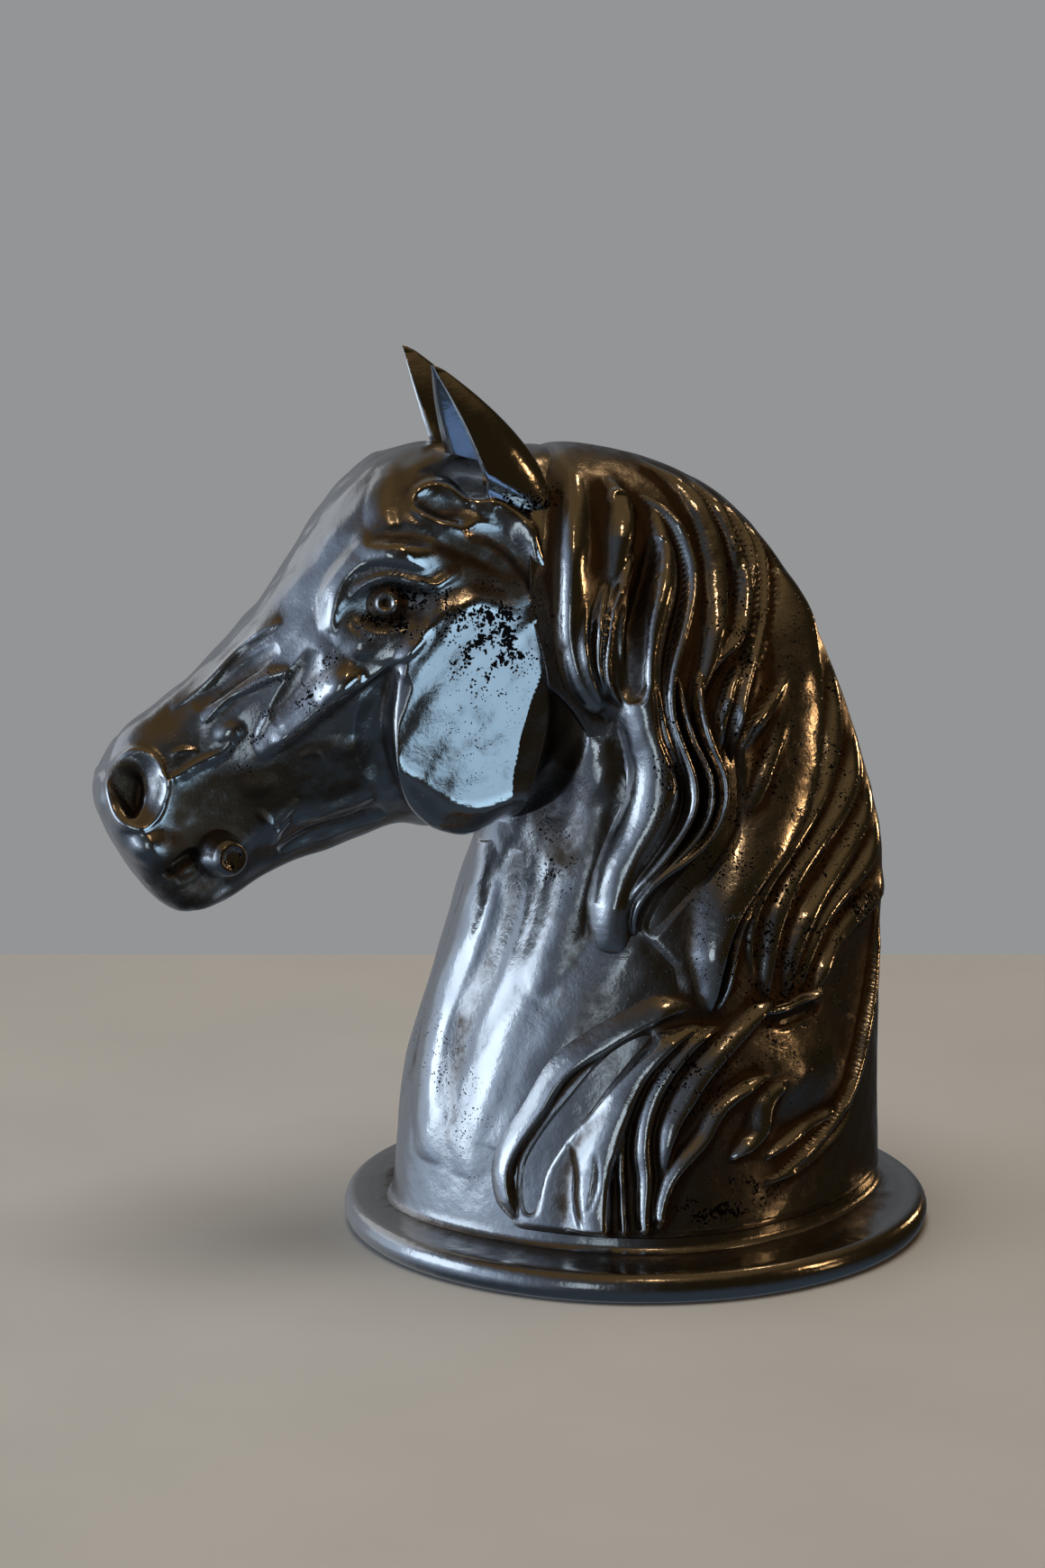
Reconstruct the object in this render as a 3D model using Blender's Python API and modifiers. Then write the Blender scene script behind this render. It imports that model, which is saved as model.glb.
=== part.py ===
"""Horse head bust, cast in one piece with its round foot.

The body is one closed skin: ribs run from the front of the neck (and the jaw) to the crest (and the
nose), and fan round the throat. Carving is raised or sunk along the skin's own normals. Sizes are in
millimetres and become metres in the meshes. X runs from the nose to the mane, Z is up, and the origin
is the centre of the foot's underside.
"""

from collections import namedtuple

import bpy
import numpy as np

MM = 0.001

# Driving dimensions
FOOT_RADIUS = 110.0
FOOT_THICKNESS = 11.5
FOOT_EDGE = 4.5          # radius of the foot's rounded edge
COVE = 5.5               # fillet between the neck and the foot
MUZZLE_BULGE = 11.5      # how far the muzzle reaches ahead of the last rib
EAR_TIP = (-83.0, -24.0, 330.0)
EAR_ROOT_Z = 262.0       # buried in the head
EAR_SPREAD = 22.0        # centre of an ear's root, from the middle
EAR_DEPTH = 28.0         # from an ear's front rim to its back
EAR_HALF = 11.2          # half its width
EAR_OPEN = 0.33          # how far its opening is turned outwards, as a slope of its rim
BOSS_PLACE = (-161.0, -20.5, 153.9)      # round boss at the corner of the mouth, near side
BOSS_TURN = 17.0         # degrees that the boss points back from straight out to the side
BOSS_ROOT_RADIUS = 8.5
BOSS_END_RADIUS = 5.5
BOSS_LENGTH = 20.0       # half of it is buried in the lip
TRIANGLES = 8000         # of the body's faceted skin, before the other pieces join it

# Grid of the skin before it is thinned out
STATIONS = 300
CAP_RINGS = 12
ROUND = 180
FOOT_STEPS = 60
LINE_STEPS = 25          # of a carved line
EAR_LEVELS = 15
EAR_ARC = 8

Rib = namedtuple("Rib", "inner outer inner_half middle_half outer_half square")
RIBS = (
    # neck, from the foot up: front of the neck to the crest
    Rib((-92, 17), (93, 17), 66, 84, 62, 2.0),
    Rib((-90, 40), (92, 42), 64, 80, 58, 2.0),
    Rib((-85.5, 64), (92, 74), 60, 76, 54, 2.0),
    Rib((-78.5, 88), (91, 105), 55, 71, 48, 2.0),
    Rib((-71.5, 111), (87, 135), 50, 66, 42, 2.0),
    Rib((-65, 134), (80, 165), 45, 61, 37, 2.0),
    Rib((-60, 152), (69, 199), 40, 57, 33, 2.0),
    # fan round the throat to the poll
    Rib((-59, 158), (50, 239), 36, 53, 30, 2.0),
    Rib((-62, 158), (23, 272), 34, 49, 28, 2.0),
    Rib((-67, 158), (-12, 291), 37, 46, 29, 2.3),
    Rib((-74, 157), (-50, 296), 40, 45, 31, 2.6),
    # head, from the poll to the lips: jaw to forehead and nose
    Rib((-83, 157), (-85, 297), 38, 44, 37, 2.6),
    Rib((-93, 158), (-110, 284), 31, 41, 38, 2.5),
    Rib((-104, 154), (-128, 260), 20, 36, 33, 2.4),
    Rib((-118, 149), (-145, 237), 16, 29, 25, 2.3),
    Rib((-132, 145), (-163, 219), 15, 23, 20, 2.3),
    Rib((-145, 139), (-180, 206), 17, 20, 19, 2.3),
    Rib((-157, 132), (-193, 196), 18, 21, 21, 2.3),
    Rib((-168, 130), (-200, 183), 18, 23, 22, 2.4),
)

# A carved line: places in the side plane (x, z) from root to tip, the breadths of its front and back
# slopes, its height (negative for a groove), and the shares of its length over which it rises at the
# root and falls at the tip. Its front is the side towards the nose of a line that runs down.
Carving = namedtuple("Carving", "places front back height root tip")

NECK = (
    Carving(((-61, 150), (-75, 98), (-82, 66), (-85, 34)), 12, 12, 2.4, 0.2, 0.3),
    Carving(((-37, 168), (-45, 130), (-60, 88), (-76, 32)), 9, 8, 3.2, 0.15, 0.3),
    Carving(((-26, 190), (-30, 165), (-41, 126), (-51, 103)), 10, 8, 3.4, 0.15, 0.25),
    Carving(((-10, 118), (-30, 106), (-60, 66), (-66, 44)), 14, 10, 2.4, 0.2, 0.3),
    Carving(((-54, 150), (-66, 112), (-74, 84), (-79, 48)), 7, 7, -2.0, 0.2, 0.3),
    Carving(((-44, 270), (-37, 220), (-38, 196), (-60, 163)), 9, 9, -5.0, 0.15, 0.2),
)
HEAD = (
    Carving(((-123, 234), (-118, 250), (-104, 264), (-90, 261), (-78, 257)), 6, 5, 3.6, 0.2, 0.2),
    Carving(((-97, 257), (-86, 254), (-76, 259)), 3.2, 3.2, 2.2, 0.2, 0.3),
    Carving(((-94, 282), (-87, 276), (-78, 272), (-69, 271)), 4.0, 4.0, 2.0, 0.2, 0.2),
    Carving(((-92, 281), (-88, 286), (-78, 286), (-68, 280)), 4.0, 4.0, 2.0, 0.2, 0.2),
    Carving(((-72, 282), (-56, 276), (-46, 263), (-41, 242)), 5, 6, 4.4, 0.15, 0.2),
    Carving(((-90, 233), (-102, 225), (-117, 211)), 5.0, 3.0, 2.6, 0.3, 0.2),
    Carving(((-112, 226), (-126, 210), (-150, 190)), 8, 6, 4.0, 0.2, 0.3),
    Carving(((-132, 239), (-150, 227), (-160, 217), (-183, 200)), 6, 3.4, 2.8, 0.3, 0.3),
    Carving(((-134, 224), (-151, 214), (-169, 201)), 5, 3.2, 2.2, 0.2, 0.3),
    Carving(((-180, 182), (-171, 187), (-162, 191), (-154, 198)), 4.5, 4.5, 2.0, 0.1, 0.4),
    Carving(((-104, 174), (-123, 167), (-142, 158)), 4.0, 5.0, 1.8, 0.2, 0.3),
    Carving(((-80, 270), (-60, 264), (-46, 240)), 6, 6, -3.2, 0.3, 0.3),
    Carving(((-98, 222), (-107, 204), (-98, 176)), 8, 8, -3.0, 0.2, 0.2),
    Carving(((-186, 146), (-178, 149), (-170, 153)), 4.0, 4.0, -3.6, 0.1, 0.3),
    Carving(((-100, 168), (-120, 161), (-138, 153)), 5, 5, -2.0, 0.2, 0.3),
)
LOCK_CHEEK = Carving(((-28, 288), (-35, 252), (-34, 226), (-27, 206)), 8, 11, 6.4, 0.35, 0.12)
LOCK_FRINGE = Carving(((-12, 270), (-18, 248), (-23, 230), (-22, 214)), 6, 5, 6.4, 0.2, 0.3)
LOCK_NEAR = Carving(
    ((-6, 276), (-2, 252), (-10, 227), (-10, 209), (-4, 183), (-8, 165), (-21, 138), (-24, 121)),
    9, 9, 8.0, 0.2, 0.08,
)
LOCK_BEND = Carving(
    ((-8, 277), (6, 254), (4, 235), (-3, 213), (2, 190), (2, 164), (-15, 141), (-21, 127)),
    7, 5, 8.6, 0.1, 0.12,
)
LOCK_FOLD = Carving(((8, 212), (8, 198), (14, 180), (10, 162), (-6, 146), (-17, 125)), 7, 5, 8.8, 0.2, 0.12)
LOCK_FACE = Carving(((-3, 287), (12, 271), (18, 247), (13, 219), (6, 203)), 10, 5, 6.6, 0.15, 0.3)
LOCK_FACE_REAR = Carving(((25, 274), (35, 249), (29, 222), (22, 199), (21, 183)), 8, 5, 7.6, 0.2, 0.15)
LOCK_BREAK = Carving(((43, 214), (35, 203), (26, 192)), 5, 9, 4.6, 0.1, 0.3)
LOCK_GOLD = Carving(
    ((34, 268), (48, 242), (52, 210), (49, 173), (31, 146), (15, 125), (9, 97)), 21, 5, 9.0, 0.12, 0.08
)
LOCK_BACK = Carving(
    ((56, 246), (65, 209), (61, 177), (46, 155), (26, 126), (28, 99)), 7, 5, 6.2, 0.15, 0.12
)
LOCK_CREST = Carving(
    ((83, 212), (91, 182), (84, 160), (67, 138), (50, 115), (48, 99)), 7, 5, 6.8, 0.15, 0.12
)
LOCK_NAPE = Carving(((94, 186), (99, 152), (85, 124), (62, 112), (49, 95)), 11, 5, 6.0, 0.15, 0.1)
LOCK_TIE = Carving(((58, 98), (42, 95), (26, 97)), 5, 5, 4.6, 0.2, 0.2)
LOCK_EDGE = Carving(((2, 100), (-23, 88), (-42, 74), (-56, 50), (-61, 22)), 9, 5, 3.6, 0.1, 0.1)
LOCK_SWEEP = Carving(((6, 93), (-14, 77), (-25, 54), (-31, 32), (-31, 16)), 15, 5, 7.2, 0.15, 0.05)
LOCK_LOW = Carving(((12, 92), (-9, 73), (-16, 54), (-17, 34), (-17, 16)), 6, 5, 6.0, 0.1, 0.05)
LOCK_LOW_REAR = Carving(((34, 98), (15, 84), (0, 66), (-7, 50), (-10, 34)), 8, 5, 6.2, 0.1, 0.2)
LOCK_HEM = Carving(((31, 71), (13, 64), (3, 50), (-7, 34), (-9, 20)), 6, 5, 6.0, 0.15, 0.1)
LOCK_CUSP = Carving(((39, 70), (29, 58), (25, 49), (14, 43)), 9, 5, 5.4, 0.15, 0.2)
LOCK_SHELF = Carving(((62, 53), (44, 48), (28, 41)), 6, 5, 4.6, 0.2, 0.2)
LOCK_LOOP = Carving(
    ((84, 124), (82, 96), (74, 72), (60, 50), (42, 39), (27, 33)), 5, 9, 5.6, 0.15, 0.15
)
MANE_GROOVES = (
    Carving(((-17, 88), (-36, 70), (-53, 47), (-57, 22)), 5, 6, -4.2, 0.2, 0.1),
    Carving(((-6, 265), (-14, 238), (-16, 212)), 4.5, 4.5, -3.6, 0.2, 0.1),
    Carving(((18, 206), (20, 175), (4, 147), (-14, 124)), 4, 7, -3.6, 0.2, 0.2),
)
# Front edge of the mane on the side of the neck: heights and how far back it lies there
MANE_EDGE_Z = (14, 44, 64, 84, 102, 114, 134, 160, 196, 203, 212, 240, 300)
MANE_EDGE_X = (-66, -63, -52, -36, -6, -8, -26, -18, -15, -24, -37, -41, -40)


def spline(knots, values, at):
    """Natural cubic spline through values at knots, read at the places in at."""
    knots = np.asarray(knots, float)
    values = np.asarray(values, float)
    count = len(knots)
    step = np.diff(knots)
    matrix = np.eye(count)
    inside = np.arange(1, count - 1)
    matrix[inside, inside - 1] = step[:-1]
    matrix[inside, inside] = 2 * (step[:-1] + step[1:])
    matrix[inside, inside + 1] = step[1:]
    slope = np.diff(values, axis=0) / step[:, None]
    right = np.zeros_like(values)
    right[1:-1] = 6 * (slope[1:] - slope[:-1])
    bend = np.linalg.solve(matrix, right)
    k = np.clip(np.searchsorted(knots, at, side="right") - 1, 0, count - 2)
    x = (at - knots[k])[:, None]
    width = step[k][:, None]
    return (
        values[k]
        + x * (slope[k] - width * (2 * bend[k] + bend[k + 1]) / 6)
        + x**2 * bend[k] / 2
        + x**3 * (bend[k + 1] - bend[k]) / (6 * width)
    )


def smooth_step(start, end, value):
    """0 before start, 1 past end, with level ends."""
    share = np.clip((value - start) / (end - start), 0, 1)
    return share * share * (3 - 2 * share)


def oval(x, z, centre, half, turn=0.0):
    """Distance from an ellipse's centre in the side plane, 1 on its rim; turn is in degrees."""
    cos, sin = np.cos(np.radians(turn)), np.sin(np.radians(turn))
    along = (x - centre[0]) * cos + (z - centre[1]) * sin
    across = (z - centre[1]) * cos - (x - centre[0]) * sin
    return np.hypot(along / half[0], across / half[1])


def mound(radius):
    """A round hill over a radius of 1, level at its foot and top."""
    return np.clip(1 - radius * radius, 0, None) ** 2


def ribs_at(numbers):
    """Rows of the ribs' six sizes, with inner and outer as x and z, at any rib numbers."""
    rows = [(*rib.inner, *rib.outer, *rib[2:]) for rib in RIBS]
    return spline(np.arange(len(RIBS)), rows, numbers)


def even_stations(count):
    """Rib numbers at even steps along the skin, mostly along its outer edge."""
    fine = np.linspace(0, len(RIBS) - 1, 6 * STATIONS)
    rows = ribs_at(fine)
    inner = np.hypot(*np.diff(rows[:, 0:2], axis=0).T)
    outer = np.hypot(*np.diff(rows[:, 2:4], axis=0).T)
    way = np.concatenate([[0], np.cumsum(0.25 * inner + 0.75 * outer)])
    return np.interp(np.linspace(0, way[-1], count), way, fine)


def half_width(row, share):
    """Half width of a rib at a share of the way from its inner to its outer end."""
    inner, middle, outer = row[4], row[5], row[6]
    bulge = 2 * middle - 0.5 * inner - 0.5 * outer
    return inner * (1 - share) ** 2 + 2 * share * (1 - share) * bulge + outer * share**2


def rib_loops(numbers, theta):
    """Closed superellipse loops round the ribs, from the crest (theta 0) by the near side to the front."""
    row = [column[:, None] for column in ribs_at(numbers).T]
    cos, sin = np.cos(theta)[None], np.sin(theta)[None]
    reach = (np.abs(cos) ** row[7] + np.abs(sin) ** row[7]) ** (-1 / row[7])
    share = (1 + reach * cos) / 2
    x = row[0] + (row[2] - row[0]) * share
    z = row[1] + (row[3] - row[1]) * share
    return np.stack([x, -half_width(row, share) * reach * sin, z], -1)


def lift(places):
    """Puts places of the side plane on the near side of the plain skin."""
    places = np.asarray(places, float)
    rows = ribs_at(np.linspace(0, len(RIBS) - 1, 3 * STATIONS))
    rib_x, rib_z = rows[:, 2] - rows[:, 0], rows[:, 3] - rows[:, 1]
    from_x = places[:, 0:1] - rows[None, :, 0]
    from_z = places[:, 1:2] - rows[None, :, 1]
    off = rib_x * from_z - rib_z * from_x
    share = (rib_x * from_x + rib_z * from_z) / (rib_x**2 + rib_z**2)
    crossed = (off[:, :-1] * off[:, 1:] <= 0) & (share[:, :-1] > -0.05) & (share[:, :-1] < 1.3)
    nearest = np.abs(off[:, :-1] / np.hypot(rib_x, rib_z)[:-1]).argmin(1)
    k = np.where(crossed.any(1), crossed.argmax(1), nearest)
    own = np.arange(len(places))
    part = np.clip(off[own, k] / (off[own, k] - off[own, k + 1] + 1e-12), 0, 1)
    row = (rows[k] * (1 - part)[:, None] + rows[k + 1] * part[:, None]).T
    share = np.clip(share[own, k] * (1 - part) + share[own, k + 1] * part, 0, 1)
    y = -half_width(row, share) * (1 - np.abs(2 * share - 1) ** row[7]) ** (1 / row[7])
    x = row[0] + (row[2] - row[0]) * share
    z = row[1] + (row[3] - row[1]) * share
    return np.stack([x, y, z], -1)


def raised(points, normals, carving):
    """Height of one carved line over the near side's points: an arch across it, eased at its ends."""
    places = np.asarray(carving.places, float)
    chord = np.concatenate([[0], np.cumsum(np.hypot(*np.diff(places, axis=0).T))])
    line = lift(spline(chord, places, np.linspace(0, chord[-1], LINE_STEPS)))
    reach = max(carving.front, carving.back)
    low, high = line.min(0) - reach, line.max(0) + reach
    close = np.nonzero(((points > low) & (points < high)).all(1))[0]
    height = np.zeros(len(points))
    if not len(close):
        return height
    start, run = line[:-1], np.diff(line, axis=0)
    length = np.linalg.norm(run, axis=1)
    share = np.clip(((points[close][:, None] - start) * run).sum(-1) / length**2, 0, 1)
    offset = points[close][:, None] - (start + run * share[..., None])
    k = (offset**2).sum(-1).argmin(1)
    own = np.arange(len(close))
    offset = offset[own, k]
    behind = (np.cross(normals[close], run[k]) * offset).sum(1) > 0
    along = (np.concatenate([[0], np.cumsum(length)])[k] + share[own, k] * length[k]) / length.sum()
    ease = np.clip(np.minimum((along + 0.02) / max(carving.root, 0.02), (1.02 - along) / carving.tip), 0, 1)
    ease = np.sqrt(ease)
    breadth = np.where(behind, carving.back, carving.front) * (0.4 + 0.6 * ease)
    radius = np.linalg.norm(offset, axis=1) / breadth
    height[close] = carving.height * ease * np.clip(1 - radius**2, 0, None) ** 1.2
    return height


def mix(first, last, count):
    """Carvings that go evenly from first to last, both included, which have as many places."""
    made = []
    for share in np.linspace(0, 1, count):
        places = np.asarray(first.places) * (1 - share) + np.asarray(last.places) * share
        sizes = [a * (1 - share) + b * share for a, b in zip(first[1:], last[1:])]
        made.append(Carving(places, *sizes))
    return made


def mane_locks():
    """The near side's locks, from the cheek to the nape and then the low ones."""
    return [
        LOCK_CHEEK,
        LOCK_FRINGE,
        LOCK_NEAR,
        LOCK_BEND,
        LOCK_FOLD,
        *mix(LOCK_FACE, LOCK_FACE_REAR, 3),
        LOCK_BREAK,
        LOCK_GOLD,
        *mix(LOCK_BACK, LOCK_CREST, 4),
        LOCK_NAPE,
        LOCK_TIE,
        LOCK_EDGE,
        LOCK_SWEEP,
        *mix(LOCK_LOW, LOCK_LOW_REAR, 2),
        LOCK_HEM,
        LOCK_CUSP,
        LOCK_SHELF,
        LOCK_LOOP,
    ]


def head_relief(x, y, z):
    """Eye, nostril, lips and the other rounded forms of the side of the head."""
    socket = oval(x, z, (-103, 246.5), (17, 11), 10)
    eyeball = oval(x, z, (-103.5, 247.5), (8.5, 7.5))
    nostril = oval(x, z, (-190.5, 179), (9.5, 13), -8)
    form = -5.0 * smooth_step(1.05, 0.4, socket)
    form += 4.6 * np.sqrt(np.clip(1 - eyeball**2, 0, 1))
    form += 2.8 * mound(oval(x, z, (-96, 266), (20, 8), -8))
    form -= 3.4 * mound(oval(x, z, (-80.5, 280), (11, 6), -12))
    form += 3.8 * mound(oval(x, z, (-119, 219), (11, 9), 45))
    form += 3.0 * mound(oval(x, z, (-184, 158), (14, 9), -10))
    form += 3.5 * mound(oval(x, z, (-170, 138), (17, 10), -15))
    form += 3.2 * mound(oval(x, z, (-162, 156), (13, 9), 10))
    form += 2.0 * np.exp(-(((nostril - 1.08) / 0.15) ** 2))
    form -= 7.5 * smooth_step(1.02, 0.45, nostril)
    return form * smooth_step(3, 12, np.abs(y))


def cheek(points, normals):
    """Height that brings the round cheek out to a nearly flat face, turned under at its rim."""
    x, y, z = points.T
    radius = oval(x, z, (-72, 207), (33.5, 47))
    face = 47.0 - 3.0 * radius**2 - 0.06 * (x + 72)
    away = (face + y) / np.clip(-normals[:, 1], 0.7, 1)
    inside = smooth_step(1.0, 0.82, radius) * smooth_step(-30, -42, x)
    return np.clip(away, -3, 12) * inside * smooth_step(0.25, 0.8, -normals[:, 1])


def relief(points, normals):
    """Height of all the carving over the plain skin, for points folded to the near side."""
    x, y, z = points.T
    head = sum(raised(points, normals, line) for line in HEAD) * smooth_step(3, 12, np.abs(y))
    neck = sum(raised(points, normals, line) for line in NECK)
    mane = np.zeros(len(points))
    for lock in mane_locks():
        mane = np.maximum(mane, raised(points, normals, lock))
    mane += sum(raised(points, normals, line) for line in MANE_GROOVES)
    behind = x - np.interp(z, MANE_EDGE_Z, MANE_EDGE_X)
    mane += 2.0 * smooth_step(-4, 10, behind)
    mane += 4.0 * mound(oval(x, z, (49, 76), (24, 30), -25))
    bare = 1 - 0.9 * smooth_step(-2, 6, behind)
    head += head_relief(x, y, z) + cheek(points, normals)
    return (head + neck) * bare + mane * smooth_step(17, 30, z)


def skin_normals(grid):
    """Outward normals of a closed round grid, by differences along and round it."""
    along = np.gradient(grid, axis=0)
    round_it = (np.roll(grid, -1, axis=1) - np.roll(grid, 1, axis=1)) / 2
    normals = np.cross(along, round_it)
    return normals / (np.linalg.norm(normals, axis=-1, keepdims=True) + 1e-12)


def muzzle_cap(ring):
    """Rings that close the muzzle ahead of the last rib, and the point at its tip."""
    last = ribs_at(np.array([len(RIBS) - 1.0]))[0]
    rib = np.array([last[2] - last[0], 0, last[3] - last[1]])
    rib /= np.linalg.norm(rib)
    ahead = np.array([-rib[2], 0, rib[0]])
    centre = np.array([(last[0] + last[2]) / 2, 0, (last[1] + last[3]) / 2])
    turn = (np.arange(1, CAP_RINGS + 1) / (CAP_RINGS + 1) * np.pi / 2)[:, None, None]
    rings = centre + (ring - centre) * np.cos(turn) ** 0.8 + ahead * MUZZLE_BULGE * np.sin(turn)
    return rings, centre + ahead * MUZZLE_BULGE


def cove_rings(neck_ring):
    """Rings that flare from inside the foot up to the neck's first ring in a quarter round."""
    plan = neck_ring * np.array([1, 1, 0])
    out = plan / np.linalg.norm(plan, axis=1, keepdims=True)
    buried = np.array([0, 0, FOOT_THICKNESS * 0.4])
    rings = [plan * 0.5 + buried, plan + out * (COVE - 1.5) + buried]
    for turn in np.radians(np.linspace(0, 67, 4)):
        height = FOOT_THICKNESS - 0.2 + (COVE + 0.2) * (1 - np.cos(turn))
        rings.append(plan + out * COVE * (1 - np.sin(turn)) + np.array([0, 0, height]))
    return np.array(rings)


def body_surface():
    """Rings of the whole casting but the ears, foot first, with its two poles."""
    theta = np.arange(ROUND) * 2 * np.pi / ROUND
    loops = rib_loops(even_stations(STATIONS), theta)
    rings, tip = muzzle_cap(loops[-1])
    grid = np.concatenate([loops, rings])
    normals = skin_normals(grid).reshape(-1, 3)
    points = grid.reshape(-1, 3)
    near = np.where(points[:, 1:2] > 0, [1, -1, 1], [1, 1, 1])
    height = relief(points * near, normals * near)
    grid = (points + normals * height[:, None]).reshape(grid.shape)
    grid = np.concatenate([cove_rings(grid[0]), grid])
    return grid, grid[0].mean(0), tip


def ear_surface():
    """Rings of the near ear, a crescent shell open to the front, from its buried root to the tip."""
    height = np.linspace(EAR_ROOT_Z, EAR_TIP[2] - 0.6, EAR_LEVELS)[:, None]
    share = (height - EAR_ROOT_Z) / (EAR_TIP[2] - EAR_ROOT_Z)
    rim_x = -60.5 - 22.5 * share
    depth = EAR_DEPTH * np.clip(1 - (np.clip(height - 282, 0, None) / 50) ** 1.9, 0.08, 1)
    half = EAR_HALF * np.clip(1 - (np.clip(height - 286, 0, None) / 44) ** 2.2, 0.1, 1)
    centre_y = -EAR_SPREAD + (EAR_TIP[1] + EAR_SPREAD) * share
    wall = 3.2 * (1 - 0.5 * share)
    turn = np.linspace(0, np.pi, EAR_ARC)[None]
    outer = (rim_x + depth * np.sin(turn), -half * np.cos(turn))
    inside = np.clip(1 - wall / half, 0.15, 1)
    hollow = 1.35 * smooth_step(266, 292, height) - 0.45
    back = np.clip(depth - wall, 0.4 * depth, None) * hollow
    turn = turn[:, ::-1][:, 1:-1]
    inner = (rim_x + back * np.sin(turn) + 0.3, -half * inside * np.cos(turn))
    across = np.concatenate([outer[1], inner[1]], 1)
    x = np.concatenate([outer[0], inner[0]], 1) - EAR_OPEN * across
    y = across + centre_y
    grid = np.stack([x, y, height + 0 * x], -1)[:, ::-1]
    return grid, grid[0].mean(0), np.array(EAR_TIP)


def mirror_grid(grid, first, last):
    """The same surface on the far side, still with its faces out."""
    flip = np.array([1, -1, 1])
    return grid[:, ::-1] * flip, first * flip, last * flip


def closed_mesh(name, grid, first, last):
    """Mesh of a round grid, each end closed on a point; its rings turn clockwise seen from ahead."""
    rings, count = grid.shape[:2]
    points = np.concatenate([grid.reshape(-1, 3), [first, last]]) * MM
    start = (np.arange(rings - 1) * count)[:, None]
    here = np.arange(count)[None]
    there = (here + 1) % count
    sides = np.stack([start + here, start + count + here, start + count + there, start + there], -1)
    here, there = here[0], there[0]
    end = (rings - 1) * count
    bottom = [(rings * count, a, b) for a, b in zip(here.tolist(), there.tolist())]
    top = [(end + b, end + a, rings * count + 1) for a, b in zip(here.tolist(), there.tolist())]
    mesh = bpy.data.meshes.new(name)
    mesh.from_pydata(points.tolist(), [], sides.reshape(-1, 4).tolist() + bottom + top)
    mesh.validate()
    return mesh


def metal():
    """Dark silver cast metal, rubbed bright."""
    material = bpy.data.materials.new("polished_dark_silver")
    material.use_nodes = True
    shader = material.node_tree.nodes["Principled BSDF"]
    shader.inputs["Base Color"].default_value = (0.40, 0.38, 0.37, 1)
    shader.inputs["Metallic"].default_value = 1.0
    shader.inputs["Roughness"].default_value = 0.22
    return material


def add_object(name, mesh, collection):
    """A smooth-shaded object of a mesh, in a collection."""
    obj = bpy.data.objects.new(name, mesh)
    collection.objects.link(obj)
    mesh.shade_smooth()
    return obj


def add_collection(name):
    """A collection under the scene's own."""
    collection = bpy.data.collections.new(name)
    bpy.context.scene.collection.children.link(collection)
    return collection


def foot_disc(collection):
    """The round foot, a profile turned about Z: flat below, its edge rounded."""
    middle = FOOT_THICKNESS / 2
    edge = [
        (FOOT_RADIUS - FOOT_EDGE + FOOT_EDGE * np.cos(turn), middle + middle * np.sin(turn))
        for turn in np.radians(np.linspace(90, -90, 7))
    ]
    profile = [(0, FOOT_THICKNESS), *edge, (0, 0)]
    mesh = bpy.data.meshes.new("foot_disc")
    points = [(radius * MM, 0, height * MM) for radius, height in profile]
    mesh.from_pydata(points, [(k, k + 1) for k in range(len(points) - 1)], [])
    disc = add_object("foot_disc", mesh, collection)
    turn = disc.modifiers.new("turn", "SCREW")
    turn.steps = FOOT_STEPS
    turn.render_steps = FOOT_STEPS
    turn.use_merge_vertices = True
    turn.merge_threshold = 0.00001
    return disc


def boss(name, side, collection):
    """A tapered round boss that stands out sideways from the corner of the mouth."""
    bpy.ops.mesh.primitive_cone_add(
        vertices=20,
        radius1=BOSS_ROOT_RADIUS * MM,
        radius2=BOSS_END_RADIUS * MM,
        depth=BOSS_LENGTH * MM,
        location=(BOSS_PLACE[0] * MM, side * BOSS_PLACE[1] * MM, BOSS_PLACE[2] * MM),
        rotation=(side * np.pi / 2, 0, side * np.radians(BOSS_TURN)),
    )
    cone = bpy.context.object
    cone.name = name
    for owner in list(cone.users_collection):
        owner.objects.unlink(cone)
    collection.objects.link(cone)
    return cone


def build():
    """Clears the scene and makes the casting: the thinned body skin, joined with foot, ears and bosses."""
    for obj in list(bpy.data.objects):
        bpy.data.objects.remove(obj, do_unlink=True)
    parts = add_collection("horse_head_bust")
    body_mesh = closed_mesh("bust_casting", *body_surface())
    body = add_object("bust_casting", body_mesh, parts)
    body_mesh.materials.append(metal())
    thin = body.modifiers.new("thin_out", "DECIMATE")
    thin.ratio = TRIANGLES / (2 * len(body_mesh.polygons))

    joined = add_collection("joined_pieces")
    near_ear = ear_surface()
    pieces = [
        foot_disc(joined),
        add_object("near_ear", closed_mesh("near_ear", *near_ear), joined),
        add_object("far_ear", closed_mesh("far_ear", *mirror_grid(*near_ear)), joined),
        boss("near_boss", 1, joined),
        boss("far_boss", -1, joined),
    ]
    for piece in pieces:
        piece.hide_render = True
        piece.display_type = "WIRE"
    join = body.modifiers.new("join_pieces", "BOOLEAN")
    join.operation = "UNION"
    join.solver = "EXACT"
    join.operand_type = "COLLECTION"
    join.collection = joined
    joined.hide_render = True


build()
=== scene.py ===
"""Horse head bust: one metal casting in polished dark silver, on its round foot.

The plain form is a row of flat ribs that fan round the throat. The head and the neck are that form,
with everything carved on it raised or sunk along its own normals. The mane is a sheet on each side of
the same form, raised into locks and cut between them. Sizes are in millimetres and become metres in
the meshes. X runs from the nose (-) to the mane (+), Z is up, and the near side is towards -Y.
"""

from __future__ import annotations

import logging
import math
from dataclasses import dataclass
from enum import Enum
from typing import NamedTuple

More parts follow.
